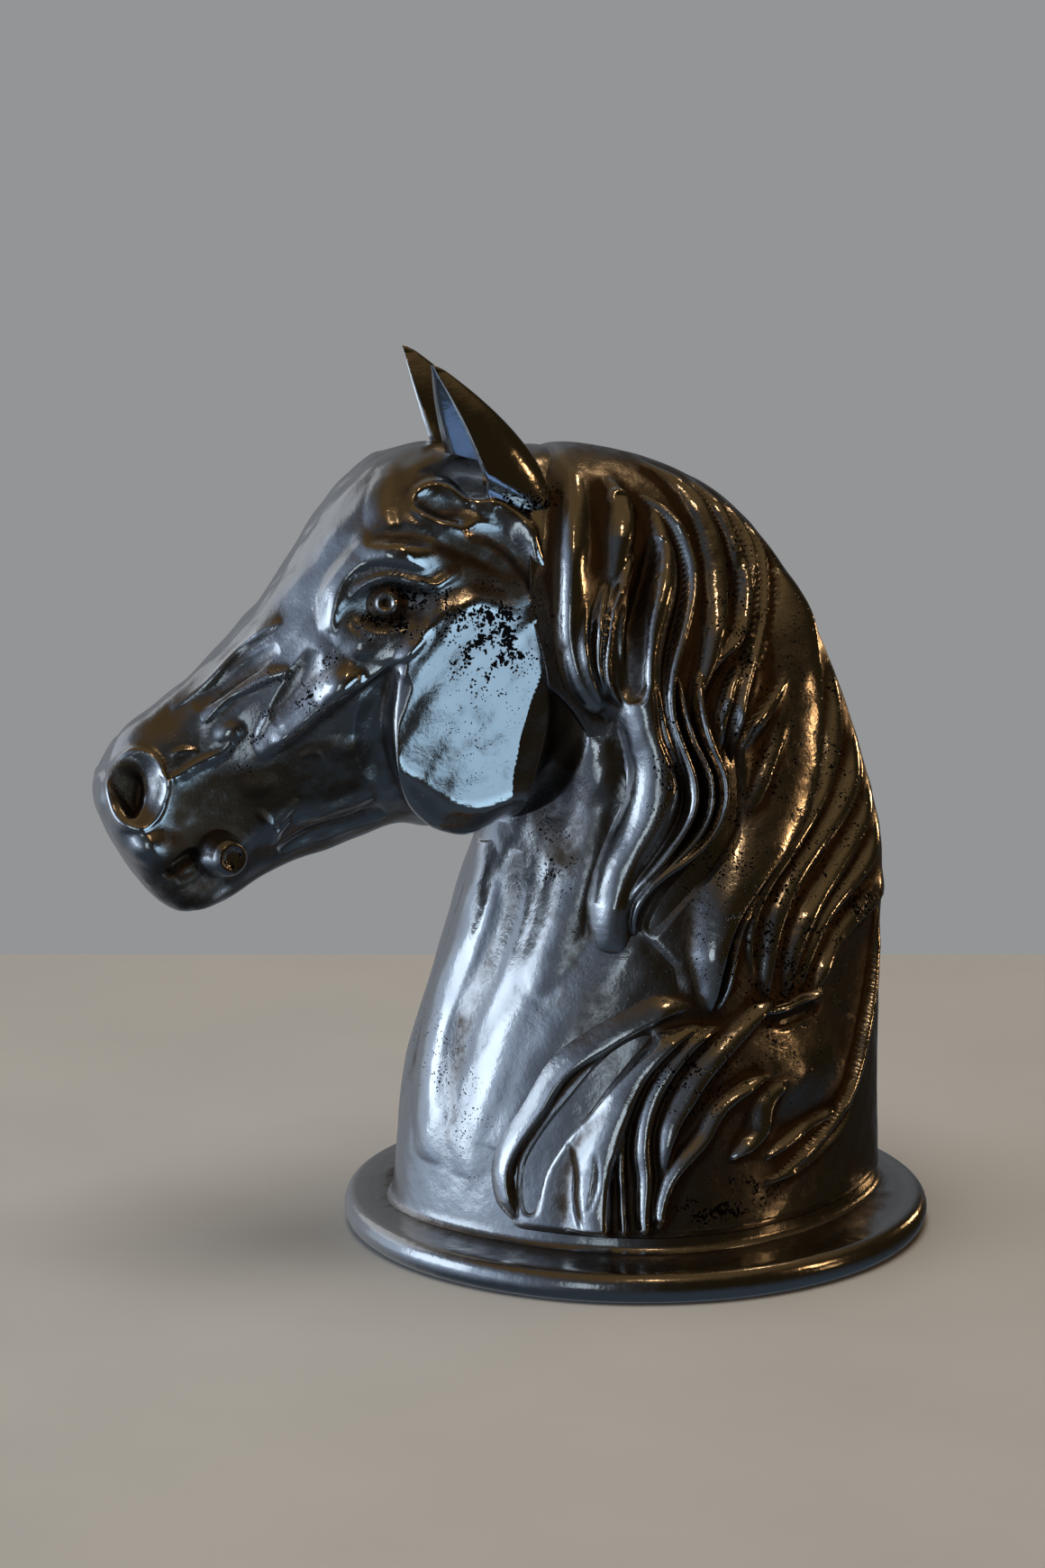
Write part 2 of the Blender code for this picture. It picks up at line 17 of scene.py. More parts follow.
import bpy
import numpy as np
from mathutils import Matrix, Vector


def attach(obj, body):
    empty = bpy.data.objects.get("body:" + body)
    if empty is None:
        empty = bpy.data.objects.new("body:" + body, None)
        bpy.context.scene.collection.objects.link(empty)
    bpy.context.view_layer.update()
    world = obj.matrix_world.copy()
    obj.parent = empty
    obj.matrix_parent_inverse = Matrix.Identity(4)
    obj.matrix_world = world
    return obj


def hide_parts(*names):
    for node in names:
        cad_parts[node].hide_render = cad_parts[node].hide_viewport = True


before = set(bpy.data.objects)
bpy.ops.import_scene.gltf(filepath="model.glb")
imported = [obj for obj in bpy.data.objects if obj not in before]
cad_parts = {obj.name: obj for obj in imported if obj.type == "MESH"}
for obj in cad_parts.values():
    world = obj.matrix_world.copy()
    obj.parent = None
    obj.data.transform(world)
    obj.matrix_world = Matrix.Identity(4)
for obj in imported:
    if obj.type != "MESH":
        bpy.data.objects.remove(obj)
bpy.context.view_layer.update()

LOG = logging.getLogger("horse_head_bust")
MM = 0.001
NODE = "bust_casting"
SLOT = "polished_dark_silver"

Array = np.ndarray
Place = tuple[float, float]
Point = tuple[float, float, float]
Colour = tuple[float, float, float]


# ---------------------------------------------------------------- curves and small fields


def spline(knots: Array, values: Array, at: Array) -> Array:
    """Natural cubic spline through rows of values.

    Args:
        knots: rising positions of the rows, (n,).
        values: the rows, (n, m).
        at: positions to read it at, (k,).

    Returns:
        Rows at those positions, (k, m).
    """
    knots = np.asarray(knots, float)
    values = np.asarray(values, float)
    count = len(knots)
    step = np.diff(knots)
    matrix = np.eye(count)
    inside = np.arange(1, count - 1)
    matrix[inside, inside - 1] = step[:-1]
    matrix[inside, inside] = 2 * (step[:-1] + step[1:])
    matrix[inside, inside + 1] = step[1:]
    slope = np.diff(values, axis=0) / step[:, None]
    right = np.zeros_like(values)
    right[1:-1] = 6 * (slope[1:] - slope[:-1])
    bend = np.linalg.solve(matrix, right)
    k = np.clip(np.searchsorted(knots, at, side="right") - 1, 0, count - 2)
    x = (at - knots[k])[:, None]
    width = step[k][:, None]
    return (
        values[k]
        + x * (slope[k] - width * (2 * bend[k] + bend[k + 1]) / 6)
        + x**2 * bend[k] / 2
        + x**3 * (bend[k + 1] - bend[k]) / (6 * width)
    )


def lengths(points: Array) -> Array:
    """Distance run along a row of points, from 0 at the first."""
    steps = np.linalg.norm(np.diff(points, axis=0), axis=1)
    return np.concatenate([[0.0], np.cumsum(steps)])


def smooth_step(start: float, end: float, value: Array) -> Array:
    """3t^2 - 2t^3 between start and end: 0 before start, 1 past end, level at both."""
    share = np.clip((value - start) / (end - start), 0, 1)
    return share * share * (3 - 2 * share)


def oval(x: Array, z: Array, centre: Place, half: Place, turn: float = 0.0) -> Array:
    """Distance from an ellipse's centre in the side plane, counted in its own half axes.

    Args:
        x: places along the bust.
        z: their heights.
        centre: the ellipse's centre.
        half: its two half axes.
        turn: how far it is turned, in degrees.

    Returns:
        0 at the centre and 1 on the rim.
    """
    cos, sin = math.cos(math.radians(turn)), math.sin(math.radians(turn))
    along = (x - centre[0]) * cos + (z - centre[1]) * sin
    across = (z - centre[1]) * cos - (x - centre[0]) * sin
    return np.hypot(along / half[0], across / half[1])


def mound(radius: Array) -> Array:
    """A round hill, (1 - r^2)^2, level at its foot and its top."""
    return np.clip(1 - radius * radius, 0, None) ** 2


class Spot(NamedTuple):
    """An amount spread on an ellipse of the side plane, as a hill or as a level patch with a soft rim.

    The rim, where there is one, is the pair of radii that the amount comes in between, on oval's scale.
    """

    amount: float
    centre: Place
    half: Place
    turn: float = 0.0
    rim: Place | None = None

    def at(self, x: Array, z: Array) -> Array:
        """The amount at places: times a mound, or times a smooth step in from the rim."""
        radius = oval(x, z, self.centre, self.half, self.turn)
        return self.amount * (mound(radius) if self.rim is None else smooth_step(*self.rim, radius))


def spread(spots: tuple[Spot, ...], x: Array, z: Array, under: Array | float = 0.0) -> Array:
    """Sum of spots at places, on top of what lies under them."""
    return sum((spot.at(x, z) for spot in spots), under)


# ---------------------------------------------------------------- the plain form


class Rib(NamedTuple):
    """A flat rib of the plain form.

    It has its ends on the throat side and on the crest side, its half widths at both ends and midway,
    and the power that squares it off, where 2 is an ellipse.
    """

    inner: Place
    outer: Place
    inner_half: float
    middle_half: float
    outer_half: float
    square: float


RIBS = (
    # neck, from the foot up: front of the neck to the crest
    Rib((-92, 17), (93, 17), 66, 84, 62, 2.0),
    Rib((-90, 40), (92, 42), 64, 80, 58, 2.0),
    Rib((-85.5, 64), (92, 74), 60, 76, 54, 2.0),
    Rib((-78.5, 88), (91, 105), 55, 71, 48, 2.0),
    Rib((-71.5, 111), (87, 135), 50, 66, 42, 2.0),
    Rib((-65, 134), (80, 165), 45, 61, 37, 2.0),
    Rib((-60, 152), (69, 199), 40, 57, 33, 2.0),
    # fan round the throat to the poll
    Rib((-59, 158), (50, 239), 36, 53, 30, 2.0),
    Rib((-62, 158), (23, 272), 34, 49, 28, 2.0),
    Rib((-67, 158), (-12, 291), 37, 46, 29, 2.3),
    Rib((-74, 157), (-50, 296), 40, 45, 31, 2.6),
    # head, from the poll to the lips: jaw to forehead and nose
    Rib((-83, 157), (-85, 297), 38, 44, 37, 2.6),
    Rib((-93, 158), (-110, 284), 31, 41, 38, 2.5),
    Rib((-104, 154), (-128, 260), 20, 36, 33, 2.4),
    Rib((-118, 149), (-145, 237), 16, 29, 25, 2.3),
    Rib((-132, 145), (-163, 219), 15, 23, 20, 2.3),
    Rib((-145, 139), (-180, 206), 17, 20, 19, 2.3),
    Rib((-157, 132), (-193, 196), 18, 21, 21, 2.3),
    Rib((-168, 130), (-200, 183), 18, 23, 22, 2.4),
)


@dataclass(frozen=True)
class PlainForm:
    """The bust with nothing carved on it: superellipse loops round the ribs.

    A place on it is a rib number (0 at the foot, 18 at the lips) and an angle round that rib (0 at the
    crest, pi at the throat, positive on the near side).

    Attributes:
        ribs: its ribs, from the foot to the lips.
        nudge: ribs or radians moved each way to find a slope.
        steps: ribs drawn between the first and the last to find the one through a place.
    """

    ribs: tuple[Rib, ...] = RIBS
    nudge: float = 0.02
    steps: int = 900

    def rows(self, numbers: Array) -> Array:
        """The ribs' sizes at any rib numbers, inner and outer as x and z, eight to a row."""
        table = [(*rib.inner, *rib.outer, *rib[2:]) for rib in self.ribs]
        return spline(np.arange(len(self.ribs)), np.array(table), numbers)

    def point(self, numbers: Array, angles: Array) -> Array:
        """Points of the form.

        The share of the way from a rib's inner to its outer end is (1 + cos a) / 2. The half width there
        is a quadratic through the rib's three half widths, times (1 - |cos a|^n)^(1/n).

        Args:
            numbers: rib numbers, of any shape.
            angles: angles round the ribs, of the same shape.

        Returns:
            Points, with a last axis of three.
        """
        shape = np.shape(numbers)
        row = self.rows(np.ravel(numbers)).T
        angle = np.ravel(angles)
        cos = np.cos(angle)
        share = (1 + cos) / 2
        bulge = 2 * row[5] - 0.5 * row[4] - 0.5 * row[6]
        half = row[4] * (1 - share) ** 2 + 2 * share * (1 - share) * bulge + row[6] * share**2
        flat = np.clip(1 - np.abs(cos) ** row[7], 0, None) ** (1 / row[7])
        x = row[0] + (row[2] - row[0]) * share
        z = row[1] + (row[3] - row[1]) * share
        y = -half * flat * np.sign(np.sin(angle))
        return np.stack([x, y, z], -1).reshape(*shape, 3)

    def slopes(self, numbers: Array, angles: Array) -> tuple[Array, Array]:
        """How the point moves per rib and per radian, by central differences.

        Args:
            numbers: rib numbers.
            angles: angles round the ribs.

        Returns:
            The two slopes, with a last axis of three.
        """
        step = self.nudge
        by_rib = self.point(numbers + step, angles) - self.point(numbers - step, angles)
        by_turn = self.point(numbers, angles + step) - self.point(numbers, angles - step)
        return by_rib / (2 * step), by_turn / (2 * step)

    def normal(self, numbers: Array, angles: Array) -> Array:
        """Outward unit normals: the cross product of the two slopes."""
        made = np.cross(*self.slopes(numbers, angles))
        return made / (np.linalg.norm(made, axis=-1, keepdims=True) + 1e-9)

    def locate(self, places: Array) -> tuple[Array, Array]:
        """Rib numbers and angles, on the near side, of places in the side plane.

        Each place takes the rib that passes through it, found where the signed distance to the ribs
        changes sign, and its angle from how far along that rib it is.

        Args:
            places: rows of x and z.

        Returns:
            Rib numbers and angles.
        """
        places = np.asarray(places, float)
        numbers = np.linspace(0, len(self.ribs) - 1, self.steps)
        rows = self.rows(numbers)
        rib_x, rib_z = rows[:, 2] - rows[:, 0], rows[:, 3] - rows[:, 1]
        from_x = places[:, 0:1] - rows[None, :, 0]
        from_z = places[:, 1:2] - rows[None, :, 1]
        off = rib_x * from_z - rib_z * from_x
        share = (rib_x * from_x + rib_z * from_z) / (rib_x**2 + rib_z**2)
        crossed = (off[:, :-1] * off[:, 1:] <= 0) & (share[:, :-1] > -0.05) & (share[:, :-1] < 1.3)
        nearest = np.abs(off[:, :-1] / np.hypot(rib_x, rib_z)[:-1]).argmin(1)
        k = np.where(crossed.any(1), crossed.argmax(1), nearest)
        own = np.arange(len(places))
        part = np.clip(off[own, k] / (off[own, k] - off[own, k + 1] + 1e-12), 0, 1)
        number = numbers[k] * (1 - part) + numbers[k + 1] * part
        along = share[own, k] * (1 - part) + share[own, k + 1] * part
        return number, np.arccos(np.clip(2 * along - 1, -0.9995, 0.9995))

    def lift(self, places: Array) -> Array:
        """Places of the side plane, put on the near side of the form."""
        return self.point(*self.locate(places))

    def stations(self, start: float, end: float, count: int, throat: float, steps: int) -> Array:
        """Rib numbers spread evenly by the distance run, partly at the throat and partly at the crest.

        Args:
            start: the first rib number.
            end: the last one.
            count: how many are wanted.
            throat: share of the distance that is measured at the throat.
            steps: steps that the distance is added up over.

        Returns:
            The rib numbers, (count,).
        """
        fine = np.linspace(start, end, steps)
        rows = self.rows(fine)
        inner = np.hypot(*np.diff(rows[:, 0:2], axis=0).T)
        outer = np.hypot(*np.diff(rows[:, 2:4], axis=0).T)
        way = np.concatenate([[0], np.cumsum(throat * inner + (1 - throat) * outer)])
        return np.interp(np.linspace(0, way[-1], count), way, fine)


def near_side(points: Array) -> Array:
    """Rows of signs that fold points, and their normals, over to the near side."""
    return np.where(points[:, 1:2] > 0, [1, -1, 1], [1, 1, 1])


# ---------------------------------------------------------------- closed surfaces


class Shell(NamedTuple):
    """A closed surface in millimetres, with how raw and how pitted the metal is at each point."""

    points: Array
    quads: Array
    triangles: Array
    raw: Array
    pits: Array


def ring_shell(grid: Array, first: Array, last: Array, raw: Array, pits: Array) -> Shell:
    """Closed surface through rings of points, shut by a fan on a point at each end, faces outward.

    Args:
        grid: rings, points round each and x, y, z.
        first: point that closes the first ring.
        last: point that closes the last ring.
        raw: rawness of each grid point.
        pits: how pitted each grid point is.

    Returns:
        The shell.
    """
    rings, count = grid.shape[:2]
    points = np.concatenate([grid.reshape(-1, 3), [first, last]])
    start = (np.arange(rings - 1) * count)[:, None]
    here = np.arange(count)[None]
    there = (here + 1) % count
    quads = np.stack([start + here, start + count + here, start + count + there, start + there], -1)
    quads = quads.reshape(-1, 4)
    end = (rings - 1) * count
    pole = np.full(count, rings * count)
    bottom = np.stack([pole, here[0], there[0]], -1)
    top = np.stack([end + there[0], end + here[0], pole + 1], -1)
    triangles = np.concatenate([bottom, top])
    solid = np.concatenate([quads[:, :3], quads[:, [0, 2, 3]], triangles])
    corner = points[solid]
    volume = np.einsum("ij,ij->i", corner[:, 0], np.cross(corner[:, 1], corner[:, 2])).sum()
    if volume < 0:
        quads, triangles = quads[:, ::-1], triangles[:, ::-1]
    ends = [0.0, 0.0]
    state = [np.concatenate([np.broadcast_to(part, grid.shape[:2]).ravel(), ends]) for part in (raw, pits)]
    return Shell(points, quads, triangles, *state)


def far_shell(shell: Shell) -> Shell:
    """The same shell on the far side, mirrored, with its faces still outward."""
    points = shell.points * np.array([1, -1, 1])
    return shell._replace(points=points, quads=shell.quads[:, ::-1], triangles=shell.triangles[:, ::-1])


def lathe_shell(profile: Array, origin: Array, axis: Array, around: int, raw: Array, pits: Array) -> Shell:
    """Shell of a profile turned about an axis.

    Args:
        profile: rows of radius and height along the axis, neither end on the axis.
        origin: where height 0 is on the axis.
        axis: the axis's direction.
        around: points in each turned ring.
        raw: rawness for each profile row.
        pits: how pitted each profile row is.

    Returns:
        The shell, its ends shut on the axis.
    """
    axis = axis / np.linalg.norm(axis)
    helper = np.array([0.0, 0.0, 1.0]) if abs(axis[2]) < 0.9 else np.array([1.0, 0.0, 0.0])
    right = np.cross(axis, helper)
    right /= np.linalg.norm(right)
    up = np.cross(right, axis)
    turn = np.arange(around) * 2 * np.pi / around
    spoke = np.cos(turn)[:, None] * right + np.sin(turn)[:, None] * up
    grid = origin + profile[:, 0, None, None] * spoke[None] + profile[:, 1, None, None] * axis
    first = origin + axis * profile[0, 1]
    last = origin + axis * profile[-1, 1]
    return ring_shell(grid, first, last, np.asarray(raw)[:, None], np.asarray(pits)[:, None])


def add_object(
    name: str, data: bpy.types.ID, place: Point = (0, 0, 0), way: Vector | None = None
) -> bpy.types.Object:
    """Adds an object to the scene.

    Args:
        name: its name.
        data: its mesh, light or camera.
        place: where it stands, in metres.
        way: the way that its -Z axis looks along, for a light or a camera.

    Returns:
        The object.
    """
    made = bpy.data.objects.new(name, data)
    made.location = place
    if way is not None:
        made.rotation_mode = "QUATERNION"
        made.rotation_quaternion = way.to_track_quat("-Z", "Y")
    bpy.context.scene.collection.objects.link(made)
    return made


def make_piece(name: str, shell: Shell, material: bpy.types.Material) -> bpy.types.Object:
    """Turns a shell into a smooth-shaded piece that rides on the casting and stands for it.

    Args:
        name: the piece's name.
        shell: its surface.
        material: its finish.

    Returns:
        The piece.
    """
    mesh = bpy.data.meshes.new(name)
    faces = len(shell.quads) + len(shell.triangles)
    corners = np.concatenate([shell.quads.ravel(), shell.triangles.ravel()]).astype(np.int32)
    sides = np.concatenate([np.full(len(shell.quads), 4), np.full(len(shell.triangles), 3)])
    starts = np.concatenate([[0], np.cumsum(sides)[:-1]])
    mesh.vertices.add(len(shell.points))
    mesh.vertices.foreach_set("co", (shell.points * MM).astype(np.float32).ravel())
    mesh.loops.add(len(corners))
    mesh.loops.foreach_set("vertex_index", corners)
    mesh.polygons.add(faces)
    mesh.polygons.foreach_set("loop_start", starts.astype(np.int32))
    mesh.update(calc_edges=True)
    mesh.validate()
    for label, values in (("raw", shell.raw), ("pits", shell.pits)):
        layer = mesh.attributes.new(label, "FLOAT", "POINT")
        layer.data.foreach_set("value", np.clip(values, 0, 1).astype(np.float32))
    mesh.shade_smooth()
    mesh.materials.append(material)
    piece = add_object(name, mesh)
    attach(piece, "root")
    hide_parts(NODE)
    LOG.info("%s: %d triangles", name, 2 * len(shell.quads) + len(shell.triangles))
    return piece


# ---------------------------------------------------------------- carving


class Nearest(NamedTuple):
    """Where the points within reach of a line lie beside it."""

    index: Array
    along: Array
    aside: Array


@dataclass(frozen=True)
class Carving:
    """A carved line on the near side, raised, or sunk where its height is negative.

    Its front side is the one on the right hand of someone who walks it from root to tip outside the
    metal: for a line that runs down, the side towards the nose.

    Attributes:
        places: x and z of its crest, from root to tip.
        front: breadth of its front slope at the root, the middle and the tip.
        back: breadth of its back slope.
        height: height of its crest above the plain form.
        root: share of its length over which it rises.
        tip: share of its length over which it falls.
        sharp: power of its profile: 2 is an arch, and nearer 1 the crest is an edge.
        drawn: points that its crest is drawn with.
        smoothed: rounds of smoothing that take the kinks out of them.
        buried: how far under the form a lock starts, so that it rises out of what lies beside it.
    """

    places: tuple[Place, ...]
    front: float | tuple[float, float, float]
    back: float | tuple[float, float, float]
    height: float
    root: float = 0.2
    tip: float = 0.25
    sharp: float = 2.0
    drawn: int = 61
    smoothed: int = 8
    buried: float = 2.0

    def nearest(self, form: PlainForm, points: Array, normals: Array) -> Nearest:
        """The points within reach, how far along the line they are, and how far to its back side.

        Args:
            form: the plain form.
            points: points of the near side, (n, 3).
            normals: their normals.

        Returns:
            Their indices, shares of its length, and signed distances.
        """
        reach = max(np.max(self.front), np.max(self.back)) + 1
        places = np.asarray(self.places, float)
        chord = lengths(places)
        crest = spline(chord, places, np.linspace(0, chord[-1], self.drawn))
        for _ in range(self.smoothed):
            crest[1:-1] = (crest[:-2] + 2 * crest[1:-1] + crest[2:]) / 4
        line = form.lift(crest)
        close = ((points > line.min(0) - reach) & (points < line.max(0) + reach)).all(1)
        close = np.nonzero(close)[0]
        start, run = line[:-1], np.diff(line, axis=0)
        length = np.linalg.norm(run, axis=1)
        here = points[close]
        best = np.full(len(close), np.inf)
        along, aside = np.zeros(len(close)), np.zeros(len(close))
        before = lengths(line)
        for k in range(len(run)):
            share = np.clip((here - start[k]) @ run[k] / length[k] ** 2, 0, 1)
            offset = here - start[k] - share[:, None] * run[k]
            far = np.linalg.norm(offset, axis=1)
            closer = far < best
            behind = (np.cross(normals[close], run[k]) * offset).sum(1) > 0
            along = np.where(closer, (before[k] + share * length[k]) / before[-1], along)
            aside = np.where(closer, np.where(behind, far, -far), aside)
            best = np.where(closer, far, best)
        inside = best < reach
        return Nearest(close[inside], along[inside], aside[inside])

    @staticmethod
    def breadth(size: float | tuple[float, float, float], along: Array) -> Array:
        """A breadth that goes from its root value through its middle to its tip value."""
        first, middle, last = np.broadcast_to(size, 3)
        return (
            first * (1 - along) * (1 - 2 * along)
            + 4 * middle * along * (1 - along)
            + last * along * (2 * along - 1)
        )

    def share(self, near: Nearest) -> tuple[Array, Array]:
        """Ease at the ends, and the share of the height across.

        The ease is the root of how far the line has risen or has yet to fall. The share is
        (1 - t^sharp)^1.2, with t in slope breadths, which narrow to half at the ends.

        Args:
            near: where the points lie beside the line.

        Returns:
            The ease and the share of each point.
        """
        rise = near.along / max(self.root, 0.01)
        fall = (1 - near.along) / max(self.tip, 0.01)
        ease = np.sqrt(np.clip(np.minimum(rise, fall), 0, 1))
        front, back = self.breadth(self.front, near.along), self.breadth(self.back, near.along)
        breadth = np.where(near.aside > 0, back, front) * (0.5 + 0.5 * ease)
        t = np.abs(near.aside) / breadth
        return ease, np.clip(1 - t**self.sharp, 0, None) ** 1.2

    def raised(self, form: PlainForm, points: Array, normals: Array) -> Array:
        """Height that this line adds over points of the form: its own, times the ease and the share.

        Args:
            form: the plain form.
            points: points of the near side, (n, 3).
            normals: their normals.

        Returns:
            Heights, (n,), 0 out of reach.
        """
        near = self.nearest(form, points, normals)
        ease, share = self.share(near)
        height = np.zeros(len(points))
        height[near.index] = self.height * ease * share
        return height

    def blend(self, form: PlainForm, points: Array, normals: Array, sharpness: float) -> Array:
        """exp(sharpness x height) over points of the form: sums of it make a smooth largest height.

        Args:
            form: the plain form.
            points: points of the near side, (n, 3).
            normals: their normals.
            sharpness: how crisp the valleys between lines are.

        Returns:
            The powers, (n,), 0 out of reach.
        """
        near = self.nearest(form, points, normals)
        ease, share = self.share(near)
        wavy = 1 + 0.05 * np.sin(14 * near.along + self.places[0][0])
        top = self.height * wavy * ease
        made = np.zeros(len(points))
        made[near.index] = np.exp(sharpness * ((top + self.buried) * share - self.buried)) * (share > 0)
        return made


NECK_CARVING = (
    # the broad front band and the flute beside it
    Carving(((-61, 150), (-65, 126), (-75, 98), (-82, 66), (-85, 34)), 15, 14, 2.0),
    Carving(((-52, 150), (-57, 126), (-64, 106), (-74, 80), (-80, 54)), 8, 8, -1.2),
    Carving(((-40, 164), (-45, 132), (-54, 105), (-64, 80), (-72, 56), (-76, 32)), 10, 12, 1.2),
    # the bulge under the jaw, and the swell that runs down from the mane
    Carving(((-26, 196), (-29, 168), (-34, 142), (-41, 120), (-51, 101)), 13, 9, 2.8, 0.15, 0.25),
    Carving(((-18, 200), (-16, 186), (-14, 174), (-20, 158), (-28, 142), (-31, 124)),
            2.4, 2.0, -1.2, 0.2, 0.2),
    Carving(((-10, 118), (-30, 106), (-48, 88), (-60, 66), (-66, 44)), 18, 14, 1.6, 0.2, 0.3),
    # the hollow behind the jaw
    Carving(((-44, 270), (-39, 246), (-37, 220), (-38, 196), (-46, 176), (-60, 163)),
            8, 8, -5.0, 0.15, 0.2),
)
HEAD_CARVING = (
    # brow and lids
    Carving(((-122, 236), (-119.5, 247), (-115, 256), (-109, 261.5), (-101, 262.5), (-94, 261), (-87, 258)),
            3.6, 9, 3.0, 0.2, 0.3, 1.4),
    Carving(((-103, 264), (-100, 266.5), (-96.5, 266), (-94.5, 262.5)), 1.2, 1.2, 0.7, 0.3, 0.3, 1.3),
    Carving(((-119, 243), (-113, 251), (-105, 255.5), (-97, 255), (-89, 251)),
            1.8, 4.0, 2.4, 0.3, 0.3, 1.4),
    Carving(((-115, 241), (-108, 238), (-100, 238.5), (-93, 243)), 3.0, 1.8, 1.6, 0.3, 0.3, 1.4),
    Carving(((-98, 254), (-92, 254.5), (-86, 253), (-81, 255.5), (-76, 258)), 2.4, 3.2, 1.9, 0.3, 0.1, 1.4),
    Carving(((-121, 238), (-115, 233), (-106, 231), (-97, 234), (-89, 240)), 6, 6, 1.6, 0.3, 0.3),
    # the oval hollow's rims, the forehead's edge and the ridge round the back of the head
    Carving(((-92, 281), (-87, 277.5), (-80, 274), (-74, 271.5), (-69, 273)), 3.4, 3, 1.6, 0.2, 0.3, 1.4),
    Carving(((-92, 281), (-89, 285), (-83, 287), (-77, 285.5), (-73, 282), (-68, 280.5)),
            3, 3.6, 1.5, 0.2, 0.3, 1.4),
    Carving(((-96, 293), (-99, 285), (-102, 277), (-98, 271)), 8, 5, 1.3, 0.3, 0.3, 1.6),
    Carving(((-70, 280.5), (-62, 279.5), (-56, 276), (-51, 272), (-47, 265), (-44, 257), (-41.5, 246)),
            6, 5, 3.8, 0.15, 0.25, 1.3),
    Carving(((-108, 268.5), (-98, 270.5), (-88, 269.5), (-78, 266), (-68, 262), (-58, 255)), 4, 4, -1.8),
    Carving(((-74, 271), (-66, 269.5), (-59, 266), (-53, 260), (-48, 250), (-46, 238)),
            4, 5, -3.0, 0.3, 0.3),
    # the thin crease from the eye, the facial ridge and the hollow ahead of it
    Carving(((-90, 234), (-99, 228), (-109, 220.5), (-117, 213.5)), 6, 2.4, 1.8, 0.3, 0.3, 1.5),
    Carving(((-96, 229), (-103, 224), (-110, 218), (-118, 210.5)), 1.3, 1.6, -1.0, 0.3, 0.3),
    Carving(((-113, 224), (-120, 215), (-128, 207.5), (-136, 200), (-147, 191)),
            10, 4.5, 3.8, 0.25, 0.3, 1.4),
    Carving(((-127, 230), (-131, 221), (-136, 212), (-142, 203)), 6, 5, -1.6, 0.3, 0.4),
    Carving(((-98, 222), (-104, 214), (-107, 203), (-105, 190), (-98, 176)), 8, 8, -3.0),
    # the edges down the nose, with a hollow band between them
    Carving(((-137, 238), (-143, 233), (-150, 227.5), (-158, 219.5), (-165, 213.5), (-176, 206)),
            9, 2.4, 2.2, 0.2, 0.3, 1.3),
    Carving(((-136, 221.5), (-142, 219), (-150, 214.5), (-156, 211), (-161, 206.5), (-166, 202)),
            5, 2.4, 2.0, 0.2, 0.3, 1.3),
    Carving(((-139, 229), (-150, 221), (-160, 212.5), (-168, 207)), 4, 4, -1.4, 0.3, 0.3),
    # creases beside the nostril and round the lips
    Carving(((-180, 182), (-174, 185), (-168, 188.5), (-162, 191), (-156, 196)), 4, 2, 1.4, 0.1, 0.4, 1.3),
    Carving(((-183, 185), (-180, 182.5), (-180, 178.5), (-183, 174)), 1.6, 1.6, 1.2, 0.2, 0.4, 1.4),
    Carving(((-178, 191), (-173, 192.5), (-168, 192)), 1.6, 1.6, 0.7, 0.3, 0.3, 1.3),
    Carving(((-105, 174), (-113, 171), (-123, 167.5), (-133, 164)), 4, 4, 1.4, 0.2, 0.3, 1.4),
    Carving(((-100, 167), (-112, 162), (-126, 158), (-138, 152)), 5, 5, -2.2, 0.2, 0.3),
    Carving(((-147, 169.5), (-143.5, 165.5), (-141, 162), (-140, 156)), 2.4, 2.4, 1.2, 0.2, 0.3, 1.3),
    Carving(((-133, 173.5), (-137, 168.5), (-141, 163)), 2.4, 2.4, 1.2, 0.2, 0.2, 1.3),
    Carving(((-135, 166), (-138.5, 161), (-141, 155)), 1.8, 1.8, 0.8, 0.2, 0.3, 1.3),
    Carving(((-142, 208), (-145, 203), (-148, 197)), 2, 2, 0.9, 0.2, 0.3, 1.3),
    Carving(((-133, 190), (-129, 192), (-125, 191.5)), 2, 2, 0.8, 0.3, 0.3, 1.3),
    Carving(((-187, 146.5), (-181, 149), (-175, 152), (-169, 156)), 3.4, 3.6, -4.2, 0.1, 0.3),
    Carving(((-187, 143.5), (-180, 144.5), (-173, 146), (-167, 148)), 2.6, 2.4, 1.0, 0.1, 0.3, 1.4),
)
# Rounded forms of the side of the head: socket, brow, temple, facial ridge, lips, chin, small muscles
HEAD_HILLS = (
    Spot(-4.6, (-102, 246.5), (18, 10.5), 12, (1.05, 0.35)),
    Spot(2.6, (-96, 266), (20, 8), -8),
    Spot(-3.2, (-80.5, 279.5), (14, 5.5), -14),
    Spot(3.4, (-119, 219), (11, 9), 45),
    Spot(3.0, (-184, 158), (14, 9), -10),
    Spot(3.5, (-170, 138), (17, 10), -15),
    Spot(3.2, (-162, 156), (13, 9), 10),
    Spot(1.6, (-118, 194), (8, 6)),
    Spot(1.3, (-147, 180), (8, 6), 20),
    Spot(1.2, (-157, 199), (7, 5), 20),
    Spot(0.9, (-139, 197), (4.5, 4)),
)
NOSTRIL = ((-190, 179), (8.8, 12.2), -10)
NOSTRIL_HOLLOWS = (
    Spot(-4.0, *NOSTRIL, (1.02, 0.3)),
    Spot(-5.0, (-193.5, 178), (5.6, 9.2), -8, (1.05, 0.55)),
)
